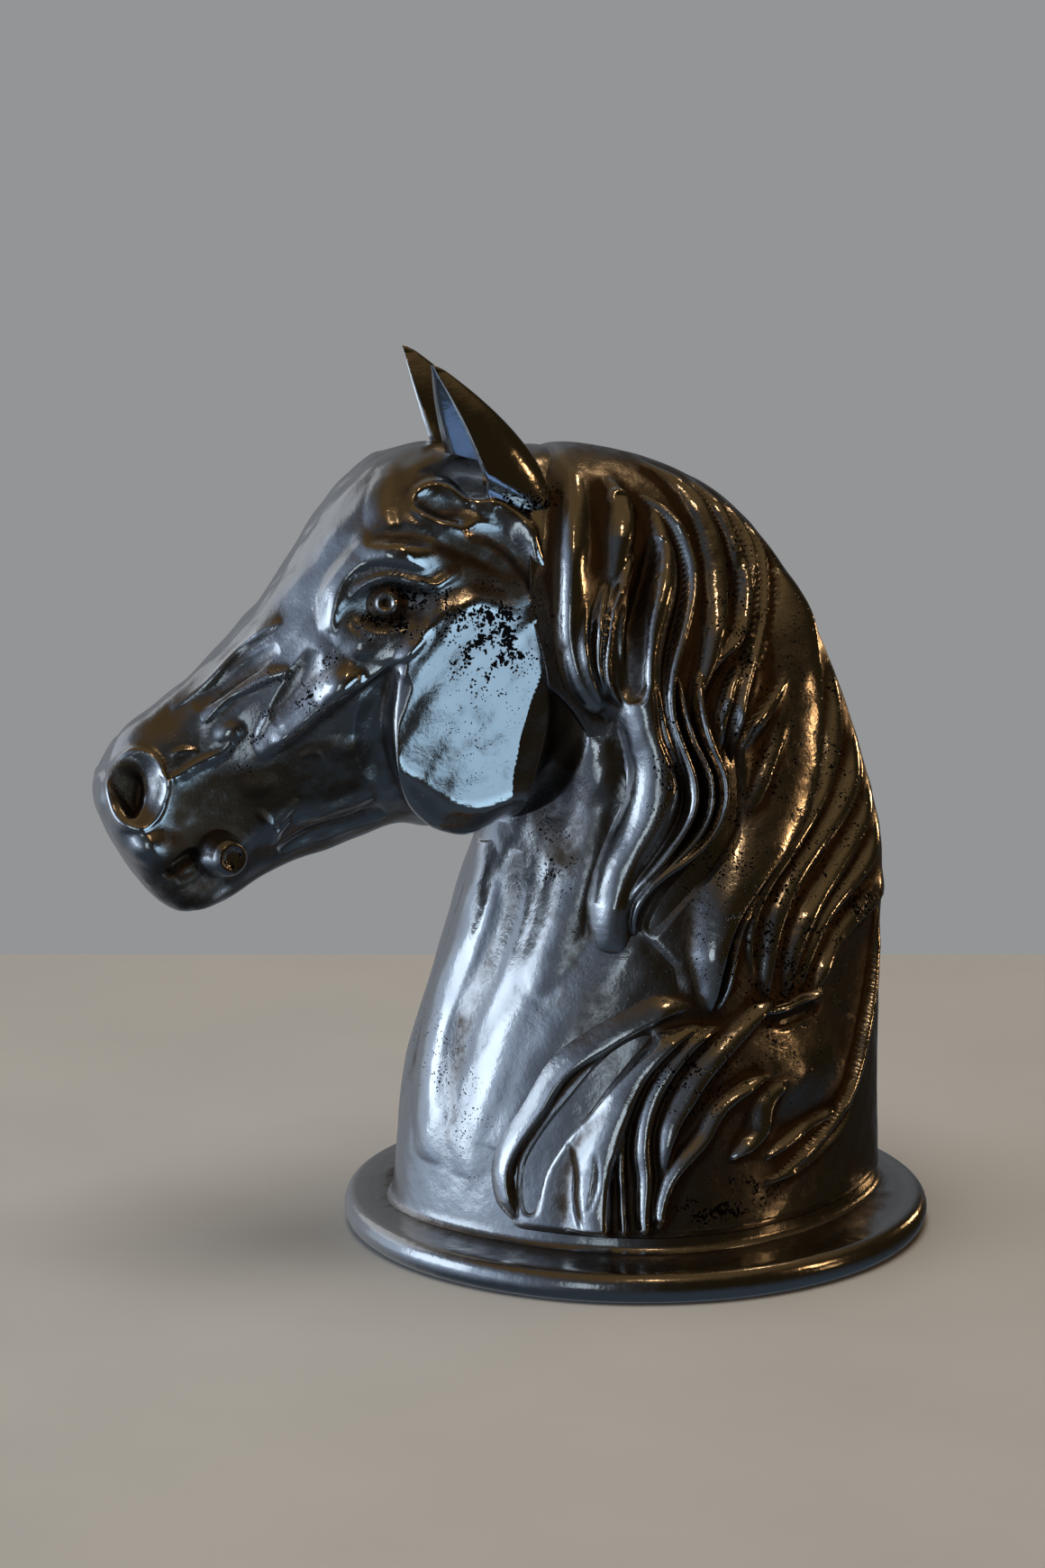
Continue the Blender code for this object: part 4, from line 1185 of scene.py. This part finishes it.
@dataclass
class Mane:
    """The mane on one side: a carved sheet that lies on the neck and dips under its skin all round.

    Attributes:
        relief: what is carved.
        end: rib number of its last row, past the seam.
        rows: rows from the foot to the poll.
        across: points from the crest to its front edge.
        past: how far it reaches over the crest, as a share of its breadth.
        under: points across its under face.
        depth: how far its under face lies inside the plain form.
        blur: rounds of blurring that its hollows are told by.
        deepened: rawness added in its deeper hollows.
    """

    relief: Relief
    end: float = 9.9
    rows: int = 322
    across: int = 298
    past: float = 0.025
    under: int = 7
    depth: float = 5.5
    blur: int = 24
    deepened: float = 0.2

    def dressed(self, grid: Array, normals: Array) -> tuple[Array, Array, Array]:
        """What lies on a grid of the plain form.

        Args:
            grid: points of the form.
            normals: their normals.

        Returns:
            Height of the locks, and how raw and how pitted they are.
        """
        points, flat = grid.reshape(-1, 3), normals.reshape(-1, 3)
        fold = near_side(points)
        height, cut = (part.reshape(grid.shape[:2]) for part in self.relief.mane(points * fold, flat * fold))
        x, z = grid[..., 0], grid[..., 2]
        raw = self.relief.hollows(height, self.blur)
        raw = np.maximum(raw + self.deepened * smooth_step(0.12, 0.3, raw), cut)
        # the raw metal, with its tarnish eased on two locks as a painted sheen that makes them look lit
        # brighter
        return height, raw * self.relief.painted_sheen_raw_share(x, z), self.relief.pitting(x, z)

    def shell(self) -> Shell:
        """The sheet's upper face on a grid of rib numbers and angles, closed by a face inside the neck.

        The upper face dips a little over the crest, at the front edge and past the seam.
        """
        form = self.relief.form
        number, angle = form.locate(np.array(SHEET_FRONT, float))
        order = np.argsort(number)
        stations = form.stations(0, self.end, self.rows, 0.45, 2000)
        front = np.interp(stations, number[order], angle[order])[:, None]
        numbers, shares = np.meshgrid(stations, np.linspace(-self.past, 1, self.across), indexing="ij")
        grid, normals = form.point(numbers, front * shares), form.normal(numbers, front * shares)
        height, raw, pits = self.dressed(grid, normals)
        over = np.clip(-shares, 0, None) / self.past
        ends = smooth_step(SEAM, self.end, numbers)
        height = height - 0.15 * over**2 - 1.5 * ends - 3 * smooth_step(0.985, 1, shares)
        below, shares = np.meshgrid(stations, np.linspace(1, -self.past, self.under), indexing="ij")
        bottom = form.point(below, front * shares) - self.depth * form.normal(below, front * shares)
        grid = np.concatenate([grid + normals * height[..., None], bottom], 1)
        raw, pits = (np.concatenate([part, np.zeros(below.shape)], 1) for part in (raw, pits))
        return ring_shell(grid, grid[0].mean(0), grid[-1].mean(0), raw, pits)


# ---------------------------------------------------------------- ears, eyes, bosses, foot


@dataclass
class Ear:
    """An upright ear: a pointed shell, open to the front, that grows out of the head.

    Attributes:
        root_z: height of its root, inside the head.
        tip: its tip, on the near side.
        tip_radius: how far under the tip it starts to round off.
        root_y: how far the middle of its root is from the middle of the head.
        rim_root: place along the bust of its front rim, at its root.
        depth: from its front rim to its back.
        half: half its width.
        wall: thickness of its wall at its root.
        open_out: how far its opening is turned outwards, as a slope of its rim.
        levels: rings up it.
        around: points along each wall of its section.
    """

    root_z: float = 262.0
    tip: Point = (-83.0, -24.0, 330.0)
    tip_radius: float = 2.6
    root_y: float = 22.0
    rim_root: float = -60.5
    depth: float = 28.0
    half: float = 11.2
    wall: float = 3.2
    open_out: float = 0.33
    levels: int = 96
    around: int = 41

    @staticmethod
    def narrowed(height: Array, start: float, over: float, power: float, least: float) -> Array:
        """Share of a size left at heights: 1 - ((height - start) / over)^power, never under the least."""
        return np.clip(1 - (np.clip(height - start, 0, None) / over) ** power, least, 1)

    def shell(self) -> Shell:
        """Crescent sections, two half ellipses joined by a rounded rim, that shrink to a rounded tip.

        Each section is sheared by its distance across, which turns the opening outwards. Under a line
        that falls from the front rim to the back, the outer wall tucks in, so that it ends in a free edge.
        """
        tip_x, tip_y, tip_z = self.tip
        even = np.linspace(0, 1, self.levels)
        height = (self.root_z + (tip_z - 0.1 - self.root_z) * np.sin(even * np.pi / 2) ** 0.9)[:, None]
        share = (height - self.root_z) / (tip_z - self.root_z)
        rounded = self.narrowed(height, tip_z - self.tip_radius, self.tip_radius, 2, 0) ** 0.5
        rim_x = self.rim_root + (tip_x - self.rim_root) * share
        centre_y = -self.root_y + (tip_y + self.root_y) * share
        depth = self.depth * self.narrowed(height, 282, 50, 1.9, 0.1) * rounded
        half = self.half * self.narrowed(height, 286, 44, 2.2, 0.12) * rounded
        wall = np.minimum(self.wall * (1 - 0.5 * share), 0.6 * half)
        hollow = 1.35 * smooth_step(266, 292, height) - 0.45
        turn = np.linspace(0, np.pi, self.around)[None]
        rounding = np.clip(1 - np.abs(2 * turn / np.pi - 1) ** 10, 0, 1) ** 0.5
        outer_x = rim_x + depth * np.sin(turn)
        free_edge = 289.5 - 0.55 * np.clip(outer_x + 66, -4, 24)
        tuck = 1 - 0.28 * smooth_step(0, -5, height - free_edge)
        outer_y = half * tuck * np.cos(turn)
        inner_x = rim_x + np.clip(depth - wall, 0.4 * depth, None) * hollow * np.sin(turn)
        inner_y = half * np.clip(1 - wall / half * rounding, 0.15, 1) * tuck * np.cos(turn)
        across = np.concatenate([outer_y, inner_y[:, -2:0:-1]], 1)
        x = np.concatenate([outer_x, inner_x[:, -2:0:-1]], 1) + self.open_out * across
        grid = np.stack([x, centre_y - across, height + 0 * x], -1)
        raw = np.concatenate([0 * outer_x, 0.3 + 0 * inner_x[:, 1:-1]], 1)
        pits = 0.8 * smooth_step(292, 280, height) + 0 * x
        return ring_shell(grid, grid[0].mean(0), grid[-1].mean(0) + np.array([0, 0, 0.05]), raw, pits)


@dataclass
class Eyeball:
    """A low domed eyeball, dark but for the raised ring of its iris, which is rubbed bright.

    Attributes:
        form: the plain form.
        place: its centre in the side plane.
        radius: half its width.
        dome: how far it bulges.
        sunk: how far its edge lies under the plain form.
        iris: radius of the iris's ring.
        pupil: radius of the dimple in it.
    """

    form: PlainForm
    place: Place = (-103.5, 247.5)
    radius: float = 7.6
    dome: float = 3.4
    sunk: float = 4.7
    iris: float = 3.0
    pupil: float = 1.6

    def shell(self) -> Shell:
        """A turned dome, sqrt(1 - r^2), with a rounded ring for the iris and a dimple in it."""
        number, angle = self.form.locate(np.array([self.place]))
        point = self.form.point(number, angle)[0]
        axis = self.form.normal(number, angle)[0]
        radius = np.concatenate([[0.6, 1.0], np.linspace(1, 0.02, 46)]) * self.radius
        share = radius / self.radius
        height = self.dome * np.sqrt(np.clip(1 - share**2, 0, 1)) - self.sunk
        height += 0.7 * np.exp(-(((radius - self.iris) / 0.8) ** 2))
        height -= 1.1 * np.exp(-((radius / self.pupil) ** 2))
        height[:2] -= 2.0
        profile = np.stack([radius, height], -1)
        raw = np.maximum(smooth_step(3.3, 4.4, radius), smooth_step(2.4, 1.4, radius))
        return lathe_shell(profile, point, axis, 64, raw, 0.25 + 0.6 * smooth_step(4, 6, radius))


@dataclass
class BitBoss:
    """A tapered stud at the corner of the mouth, with a collar and a cupped, pitted end.

    Attributes:
        place: the middle of its end, on the near side.
        axis: the way it points.
        length: from inside the lip to its end.
        root_radius: its radius inside the lip.
        end_radius: its radius at the end.
    """

    place: Point = (-158.0, -30.0, 154.7)
    axis: Point = (0.30, -0.95, 0.05)
    length: float = 20.0
    root_radius: float = 9.4
    end_radius: float = 5.9

    def shell(self) -> Shell:
        """A turned profile: cone, collar, rounded edge, cupped face."""
        root, end = self.root_radius, self.end_radius
        knots = np.array([
            (root, 0), (root, 6), (root - 0.4, 10), (root - 1.2, 13), (end + 1.4, 16), (end + 0.9, 18),
            (end + 0.2, 19.2), (end - 0.5, 19.9), (end - 1.4, 20.0), (end - 2.4, 19.7), (end - 3.4, 19.4),
            (0.3, 19.3),
        ])
        share = np.linspace(0, 1, 46)
        profile = spline(np.linspace(0, 1, len(knots)), knots - (0, self.length), share)
        profile[:, 0] = np.clip(profile[:, 0], 0.2, None)
        cup = smooth_step(0.7, 0.85, share)
        place, axis = np.array(self.place), np.array(self.axis)
        return lathe_shell(profile, place, axis, 48, 0.35 - 0.3 * cup, 0.2 + 0.7 * cup)


@dataclass
class Foot:
    """The round foot, cast in one with the neck: flat below, its edge rounded.

    Attributes:
        radius: its radius.
        edge: how far in its edge is rounded.
        around: points round it.
    """

    radius: float = 110.0
    edge: float = 4.5
    around: int = 256

    def shell(self) -> Shell:
        """A turned slab whose rounded edge, top and plan are a little uneven, as cast."""
        middle = FOOT_TOP / 2
        turn = np.radians(np.linspace(90, -90, 15))
        edge_r = self.radius - self.edge + self.edge * np.cos(turn)
        edge_z = middle + middle * np.sin(turn)
        top_r = np.array([40, 70, 80, 88, 94, 99, 102.5])
        top_z = FOOT_TOP + 0.5 * smooth_step(103, 92, top_r)
        radius = np.concatenate([top_r, edge_r, [60.0, 1.0]])
        height = np.concatenate([top_z, edge_z, [0.0, 0.0]])
        angle = np.arange(self.around) * 2 * np.pi / self.around
        wave = 1 + 0.5 * np.sin(2 * angle + 0.7) + 0.3 * np.sin(5 * angle) + 0.2 * np.sin(11 * angle + 2)
        inward = 0.35 * np.clip(wave, 0, None)
        grid_r = radius[:, None] - inward * (radius[:, None] > 60)
        sag = 0.3 * np.sin(3 * angle + 1) * smooth_step(70, 104, radius)[:, None]
        grid_z = height[:, None] - np.abs(sag) * (height[:, None] > middle)
        x, y = grid_r * np.cos(angle), grid_r * np.sin(angle)
        grid = np.stack([x, y, grid_z], -1)
        raw = 0.15 + 0.5 * smooth_step(102, 92, radius)[:, None] + 0 * x
        return ring_shell(grid, np.array([0, 0, FOOT_TOP]), np.zeros(3), raw, 0.12 + 0 * x)


# ---------------------------------------------------------------- finishes


class Graph:
    """A node tree, built one node at a time."""

    def __init__(self, tree: bpy.types.NodeTree) -> None:
        """Keeps the tree and empties it."""
        self.tree = tree
        tree.nodes.clear()

    def add(
        self, kind: str, inputs: dict[str | int, object] | None = None, **settings: object
    ) -> bpy.types.Node:
        """Adds a node.

        Args:
            kind: the node's type name without the ShaderNode in front.
            inputs: what each input takes, a value or another node's socket.
            settings: the node's own settings.

        Returns:
            The node.
        """
        node = self.tree.nodes.new("ShaderNode" + kind)
        for name, value in settings.items():
            setattr(node, name, value)
        for name, value in (inputs or {}).items():
            if isinstance(value, bpy.types.NodeSocket):
                self.tree.links.new(value, node.inputs[name])
            else:
                node.inputs[name].default_value = value
        return node

    def math(self, operation: str, *values: object) -> bpy.types.NodeSocket:
        """The result of a sum on sockets or numbers."""
        return self.add("Math", dict(enumerate(values)), operation=operation).outputs[0]

    def times(self, first: object, second: object) -> bpy.types.NodeSocket:
        """One socket or number times another."""
        return self.math("MULTIPLY", first, second)

    def plus(self, base: object, value: object, share: object) -> bpy.types.NodeSocket:
        """A socket or number with a share of another added to it."""
        return self.math("ADD", base, self.times(value, share))

    def ramp(self, value: object, low: float, high: float) -> bpy.types.NodeSocket:
        """A smooth step from 0 at low to 1 at high; low may be the larger."""
        inputs = {"Value": value, "From Min": low, "From Max": high}
        return self.add("MapRange", inputs, interpolation_type="SMOOTHSTEP").outputs[0]

    def noise(self, vector: object, scale: float, detail: float, rough: float = 0.5) -> bpy.types.NodeSocket:
        """Soft noise of a scale in cycles to the metre."""
        inputs = {"Vector": vector, "Scale": scale, "Detail": detail, "Roughness": rough}
        return self.add("TexNoise", inputs).outputs["Fac"]

    def noise_vector(self, vector: object, scale: float) -> bpy.types.NodeSocket:
        """A small wandering offset, to make round cells angular."""
        colour = self.add("TexNoise", {"Vector": vector, "Scale": scale, "Detail": 2.0}).outputs["Color"]
        moved = self.add("VectorMath", {0: colour, 1: (0.5, 0.5, 0.5)}, operation="SUBTRACT").outputs[0]
        return self.add("VectorMath", {0: moved, "Scale": 0.0035}, operation="SCALE").outputs[0]

    def blend(self, share: object, first: object, second: object) -> bpy.types.NodeSocket:
        """A mix of two colours: the first where the share is 0, the second where it is 1."""
        first, second = ((*tint, 1) if isinstance(tint, tuple) else tint for tint in (first, second))
        return self.add("Mix", {0: share, 6: first, 7: second}, data_type="RGBA").outputs[2]

    def bump(
        self, height: object, strength: float, distance: float, under: object | None = None
    ) -> bpy.types.NodeSocket:
        """Bends the normals by a height.

        Args:
            height: the height, from 0 to 1.
            strength: share of the bend that is used.
            distance: what a height of 1 is worth, in metres.
            under: normals that are bent already.

        Returns:
            The bent normals.
        """
        inputs = {"Height": height, "Strength": strength, "Distance": distance}
        if under is not None:
            inputs["Normal"] = under
        return self.add("Bump", inputs).outputs[0]


def new_material(name: str) -> tuple[bpy.types.Material, Graph, bpy.types.NodeSocket]:
    """Starts a material.

    Args:
        name: its name.

    Returns:
        The material, its graph, and the place on the piece, in metres.
    """
    material = bpy.data.materials.new(name)
    material.use_nodes = True
    graph = Graph(material.node_tree)
    return material, graph, graph.add("TexCoord").outputs["Object"]


@dataclass(frozen=True)
class CastMetal:
    """Dark silver casting: rubbed bright where it stands proud, brown and raw in its hollows, pitted.

    Attributes:
        name: the material's name.
        bright: colour of the smooth metal.
        edge: colour of the edges, rubbed brightest.
        tarnish: colour of the raw metal.
        pit: colour inside a pit.
        polish: roughness of the rubbed metal.
        raw_roughness: roughness of the raw metal.
        cloud_scale: broad patches of tarnish to the metre.
        blotch_scale: small patches of tarnish to the metre.
        grain_scale: grains of the cast surface to the metre.
        swell_scale: soft waves of the cast surface to the metre.
        pit_scale: pits to the metre.
        cluster_scale: clusters of pits to the metre.
        wander_scale: bends of the pits' rims to the metre.
    """

    name: str = SLOT
    bright: Colour = (0.38, 0.37, 0.36)
    edge: Colour = (0.62, 0.60, 0.57)
    tarnish: Colour = (0.095, 0.064, 0.040)
    pit: Colour = (0.012, 0.010, 0.010)
    polish: float = 0.19
    raw_roughness: float = 0.50
    cloud_scale: float = 38.0
    blotch_scale: float = 190.0
    grain_scale: float = 1100.0
    swell_scale: float = 70.0
    pit_scale: float = 760.0
    cluster_scale: float = 130.0
    wander_scale: float = 260.0

    def build(self) -> bpy.types.Material:
        """The material: colour, roughness and bump from noise, cells and the pieces' own raw and pits."""
        material, graph, place = new_material(self.name)
        raw = graph.add("Attribute", attribute_name="raw").outputs["Fac"]
        pits = graph.add("Attribute", attribute_name="pits").outputs["Fac"]
        cloud = graph.noise(place, self.cloud_scale, 4, 0.6)
        blotch = graph.noise(place, self.blotch_scale, 4, 0.6)
        grain = graph.noise(place, self.grain_scale, 3, 0.6)
        swell = graph.noise(place, self.swell_scale, 2, 0.4)

        # tarnish where raw places and both sizes of patch add up, a rub where the metal is least raw
        tarnished = graph.plus(graph.plus(graph.times(raw, 0.9), cloud, 0.6), blotch, 0.5)
        tarnished = graph.ramp(tarnished, 0.82, 1.40)
        rubbed = graph.times(graph.ramp(raw, 0.24, 0.02), 0.7)

        # pits are the middles of cells with bent rims, larger where the piece is pitted and in clusters
        bent = graph.noise_vector(place, self.wander_scale)
        bent = graph.add("VectorMath", {0: place, 1: bent}, operation="ADD").outputs[0]
        cells = graph.add("TexVoronoi", {"Vector": bent, "Scale": self.pit_scale, "Randomness": 1.0})
        cluster = graph.ramp(graph.noise(place, self.cluster_scale, 4, 0.65), 0.36, 0.60)
        size = graph.times(graph.times(pits, cluster), 0.80)
        pitted = graph.ramp(graph.math("SUBTRACT", cells.outputs["Distance"], size), 0.0, -0.09)

        colour = graph.blend(rubbed, self.bright, self.edge)
        colour = graph.blend(tarnished, colour, self.tarnish)
        colour = graph.blend(pitted, colour, self.pit)

        rough = graph.math("ADD", graph.times(blotch, 0.12), self.polish - 0.05)
        rough = graph.math("SUBTRACT", rough, graph.times(rubbed, 0.11))
        rough = graph.plus(rough, tarnished, self.raw_roughness - self.polish)
        rough = graph.math("MAXIMUM", rough, graph.times(pitted, 0.6))

        texture = graph.times(grain, graph.math("ADD", tarnished, 0.06))
        texture = graph.plus(texture, blotch, 0.8)
        normal = graph.bump(swell, 0.25, 0.0012)
        normal = graph.bump(texture, 0.40, 0.0006, normal)
        normal = graph.bump(graph.math("SUBTRACT", 1.0, pitted), 0.8, 0.0005, normal)
        look = {"Base Color": colour, "Roughness": rough, "Normal": normal, "Metallic": 1.0}
        shader = graph.add("BsdfPrincipled", look)
        graph.add("OutputMaterial", {"Surface": shader.outputs[0]})
        return material


@dataclass(frozen=True)
class PaleFloor:
    """A plain pale floor with a faint mottle.

    Attributes:
        light: its lighter tone.
        dark: its darker tone.
        mottle_scale: patches to the metre.
        roughness: its roughness.
    """

    light: Colour = (0.56, 0.54, 0.50)
    dark: Colour = (0.47, 0.455, 0.42)
    mottle_scale: float = 9.0
    roughness: float = 0.55

    def build(self) -> bpy.types.Material:
        """The floor's material: a mix of its two tones by soft noise."""
        material, graph, place = new_material("pale_floor")
        colour = graph.blend(graph.noise(place, self.mottle_scale, 4), self.light, self.dark)
        shader = graph.add("BsdfPrincipled", {"Base Color": colour, "Roughness": self.roughness})
        graph.add("OutputMaterial", {"Surface": shader.outputs[0]})
        return material


# ---------------------------------------------------------------- studio


@dataclass(frozen=True)
class Softbox:
    """A flat light, a rectangle or an ellipse, that faces the bust.

    Attributes:
        name: its name.
        place: where it is, in metres.
        size: its width and height, in metres.
        radiance: how bright its face is.
        colour: its colour.
        aim: the point that it faces.
        round: whether its face is an ellipse.
    """

    name: str
    place: Point
    size: tuple[float, float]
    radiance: float
    colour: Colour
    aim: Point = (-0.04, 0.0, 0.17)
    round: bool = False

    def build(self) -> bpy.types.Object:
        """Adds the light to the scene; its power is pi times its radiance and its area."""
        light = bpy.data.lights.new(self.name, "AREA")
        light.shape = "ELLIPSE" if self.round else "RECTANGLE"
        light.size, light.size_y = self.size
        area = self.size[0] * self.size[1] * (math.pi / 4 if self.round else 1)
        light.energy = math.pi * self.radiance * area
        light.color = self.colour
        lamp = add_object(self.name, light, self.place, Vector(self.aim) - Vector(self.place))
        lamp.visible_camera = False
        return lamp


SOFTBOXES = (
    Softbox("window_wall", (-1.7, 0.35, 0.10), (2.6, 1.1), 0.30, (0.62, 0.80, 1.0)),
    Softbox("window_left", (-1.5, 0.14, 0.24), (0.80, 0.8), 1.55, (0.72, 0.86, 1.0)),
    Softbox("window_back", (-1.2, 1.3, 0.90), (1.4, 1.0), 0.42, (0.92, 0.96, 1.0)),
    Softbox("window_narrow", (-0.95, -1.35, 0.22), (0.34, 0.8), 0.9, (0.70, 0.86, 1.0)),
    Softbox("lamp_right", (1.3, -0.75, 0.55), (0.14, 0.14), 14.0, (1.0, 0.58, 0.26)),
    Softbox("lamp_above", (-0.15, -1.2, 1.5), (0.13, 0.13), 14.0, (1.0, 0.66, 0.36)),
    Softbox("lamp_high", (0.75, 0.3, 1.7), (0.14, 0.14), 12.0, (1.0, 0.66, 0.36)),
    Softbox("lamp_rear", (1.25, 0.80, 0.30), (0.16, 0.16), 12.0, (1.0, 0.60, 0.28)),
    Softbox("lamp_low", (1.30, -0.70, 0.02), (0.08, 0.20), 3.0, (1.0, 0.60, 0.28)),
)


@dataclass(frozen=True)
class Room:
    """The surroundings that the metal mirrors: a dim room, windows on the left and a grey wall behind.

    Attributes:
        gloom: colour of the side away from the windows.
        dusk: colour of the side of the windows.
        ceiling: colour of its upper part.
        ground: colour of its lower part.
        daylight: colour of the glow round the windows.
        wall: colour of the wall behind the bust.
        backdrop: colour seen past the bust.
        windows: the level way to the windows.
    """

    gloom: Colour = (0.020, 0.014, 0.006)
    dusk: Colour = (0.060, 0.070, 0.085)
    ceiling: Colour = (0.120, 0.078, 0.035)
    ground: Colour = (0.045, 0.062, 0.085)
    daylight: Colour = (0.44, 0.57, 0.82)
    wall: Colour = (0.30, 0.31, 0.32)
    backdrop: Colour = (0.295, 0.30, 0.305)
    windows: Point = (-0.914, 0.406, 0.0)

    def build(self) -> bpy.types.World:
        """The world: each part is laid over the last by smooth steps along the way looked in."""
        world = bpy.data.worlds.new("room")
        world.use_nodes = True
        graph = Graph(world.node_tree)
        way = graph.add("TexCoord").outputs["Generated"]
        right, back, height = graph.add("SeparateXYZ", {0: way}).outputs
        leftward = graph.add("VectorMath", {0: way, 1: self.windows}, operation="DOT_PRODUCT")
        leftward = leftward.outputs["Value"]
        room = graph.blend(graph.ramp(leftward, -0.45, 0.25), self.gloom, self.dusk)
        room = graph.blend(graph.ramp(height, 0.46, 0.84), room, self.ceiling)
        room = graph.blend(graph.ramp(height, -0.15, -0.75), room, self.ground)
        glow = graph.times(graph.ramp(leftward, 0.24, 1.0), graph.ramp(height, 0.85, 0.15))
        glow = graph.times(glow, graph.ramp(height, -0.75, -0.10))
        room = graph.blend(glow, room, self.daylight)
        behind = graph.times(graph.ramp(back, 0.25, 0.9), 0.75)
        behind = graph.times(behind, graph.ramp(right, 0.75, -0.25))
        room = graph.blend(behind, room, self.wall)
        seen = graph.blend(graph.add("LightPath").outputs["Is Camera Ray"], room, self.backdrop)
        background = graph.add("Background", {"Color": seen, "Strength": 1.0})
        graph.add("OutputWorld", {"Surface": background.outputs[0]})
        return world


@dataclass
class Studio:
    """Floor, surroundings, lights and camera.

    Attributes:
        floor_half: half the floor's breadth, in metres.
        floor_far: how far behind the bust its far edge is, in metres.
        floor_light: a light overhead that reaches only the floor, so that the metal stays dark above.
        face_light: a light in front that reaches only the head, and shows in its cheek.
        ear_light: a light low in front that reaches only the ears, and shows inside them.
        slant: distance from the target, over the middle of the foot, to the camera, in metres.
        target: the target's height, in metres.
        azimuth: where the camera stands round the bust, in degrees.
        elevation: how high it stands, in degrees.
        heading: which way it looks, in degrees from +Y.
        pitch: how far it looks down, in degrees.
        lens: its lens, in millimetres.
        sensor: breadth of its sensor, in millimetres.
        softboxes: the lights that reach everything.
    """

    floor_half: float = 0.75
    floor_far: float = 0.38
    floor_light: Softbox = Softbox("ceiling", (-0.2, -0.1, 2.2), (1.4, 1.4), 4.5, (1.0, 0.97, 0.93))
    face_light: Softbox = Softbox(
        "window_front", (0.76, -1.50, -0.06), (1.6, 1.15), 1.6, (0.47, 0.73, 1.0), round=True
    )
    ear_light: Softbox = Softbox("window_low", (-0.18, -1.20, -0.55), (1.0, 0.8), 0.6, (0.25, 0.48, 1.0))
    slant: float = 2.1
    target: float = 0.011
    azimuth: float = -15.0
    elevation: float = 17.3
    heading: float = -13.787
    pitch: float = 13.166
    lens: float = 127.56
    sensor: float = 36.0
    softboxes: tuple[Softbox, ...] = SOFTBOXES

    def build_floor(self) -> None:
        """A plain floor under the bust, its edges square to the view."""
        half, far, near = self.floor_half, self.floor_far, self.floor_far - 2 * self.floor_half
        cos, sin = math.cos(math.radians(self.heading)), math.sin(math.radians(self.heading))
        mesh = bpy.data.meshes.new("floor")
        flat = ((-half, near), (half, near), (half, far), (-half, far))
        corners = [(across * cos - ahead * sin, across * sin + ahead * cos, 0) for across, ahead in flat]
        mesh.from_pydata(corners, [], [(0, 1, 2, 3)])
        mesh.materials.append(PaleFloor().build())
        floor = add_object("floor", mesh)
        floor.visible_glossy = False
        floor.visible_shadow = False

    @staticmethod
    def build_linked(softbox: Softbox, *names: str) -> None:
        """Adds a light that reaches only some objects.

        Args:
            softbox: the light.
            names: the objects' names.
        """
        reached = bpy.data.collections.new(f"reached_by_{softbox.name}")
        for name in names:
            reached.objects.link(bpy.data.objects[name])
        softbox.build().light_linking.receiver_collection = reached

    @staticmethod
    def direction(heading: float, rise: float) -> Vector:
        """The way that a heading from +Y and a rise give, both in degrees: turned, then tilted."""
        turn, tilt = math.radians(heading), math.radians(rise)
        return Vector((-math.sin(turn) * math.cos(tilt), math.cos(turn) * math.cos(tilt), math.sin(tilt)))

    def build_camera(self) -> None:
        """The camera: a slant's length from its target, looking along its heading and pitch."""
        camera = bpy.data.cameras.new("camera")
        camera.lens = self.lens
        camera.sensor_width = self.sensor
        turn, rise = math.radians(self.azimuth), math.radians(self.elevation)
        place = (
            self.slant * math.sin(turn) * math.cos(rise),
            -self.slant * math.cos(turn) * math.cos(rise),
            self.target + self.slant * math.sin(rise),
        )
        way = self.direction(self.heading, -self.pitch)
        bpy.context.scene.camera = add_object("camera", camera, place, way)

    def build(self) -> None:
        """Builds the whole studio."""
        bpy.context.scene.view_settings.view_transform = "Standard"
        self.build_floor()
        self.build_linked(self.floor_light, "floor")
        self.build_camera()
        bpy.context.scene.world = Room().build()
        for softbox in self.softboxes:
            softbox.build()
        self.build_linked(self.face_light, "head")
        self.build_linked(self.ear_light, "ear_near", "ear_far")


def build_pieces() -> None:
    """Builds every piece of the bust and reports it."""
    form = PlainForm()
    relief = Relief(form)
    metal = CastMetal().build()
    make_piece("head", Head(relief).shell(), metal)
    make_piece("neck", Neck(relief).shell(), metal)
    make_piece("foot_disc", Foot().shell(), metal)
    sided = {
        "mane": Mane(relief).shell(),
        "ear": Ear().shell(),
        "eyeball": Eyeball(form).shell(),
        "boss": BitBoss().shell(),
    }
    for name, shell in sided.items():
        for side in Side:
            make_piece(f"{name}_{side.value}", side.turned(shell), metal)


def main() -> None:
    """Builds the bust and its studio."""
    logging.basicConfig(level=logging.INFO, format="%(name)s: %(message)s")
    build_pieces()
    Studio().build()


if __name__ == "__main__":
    main()
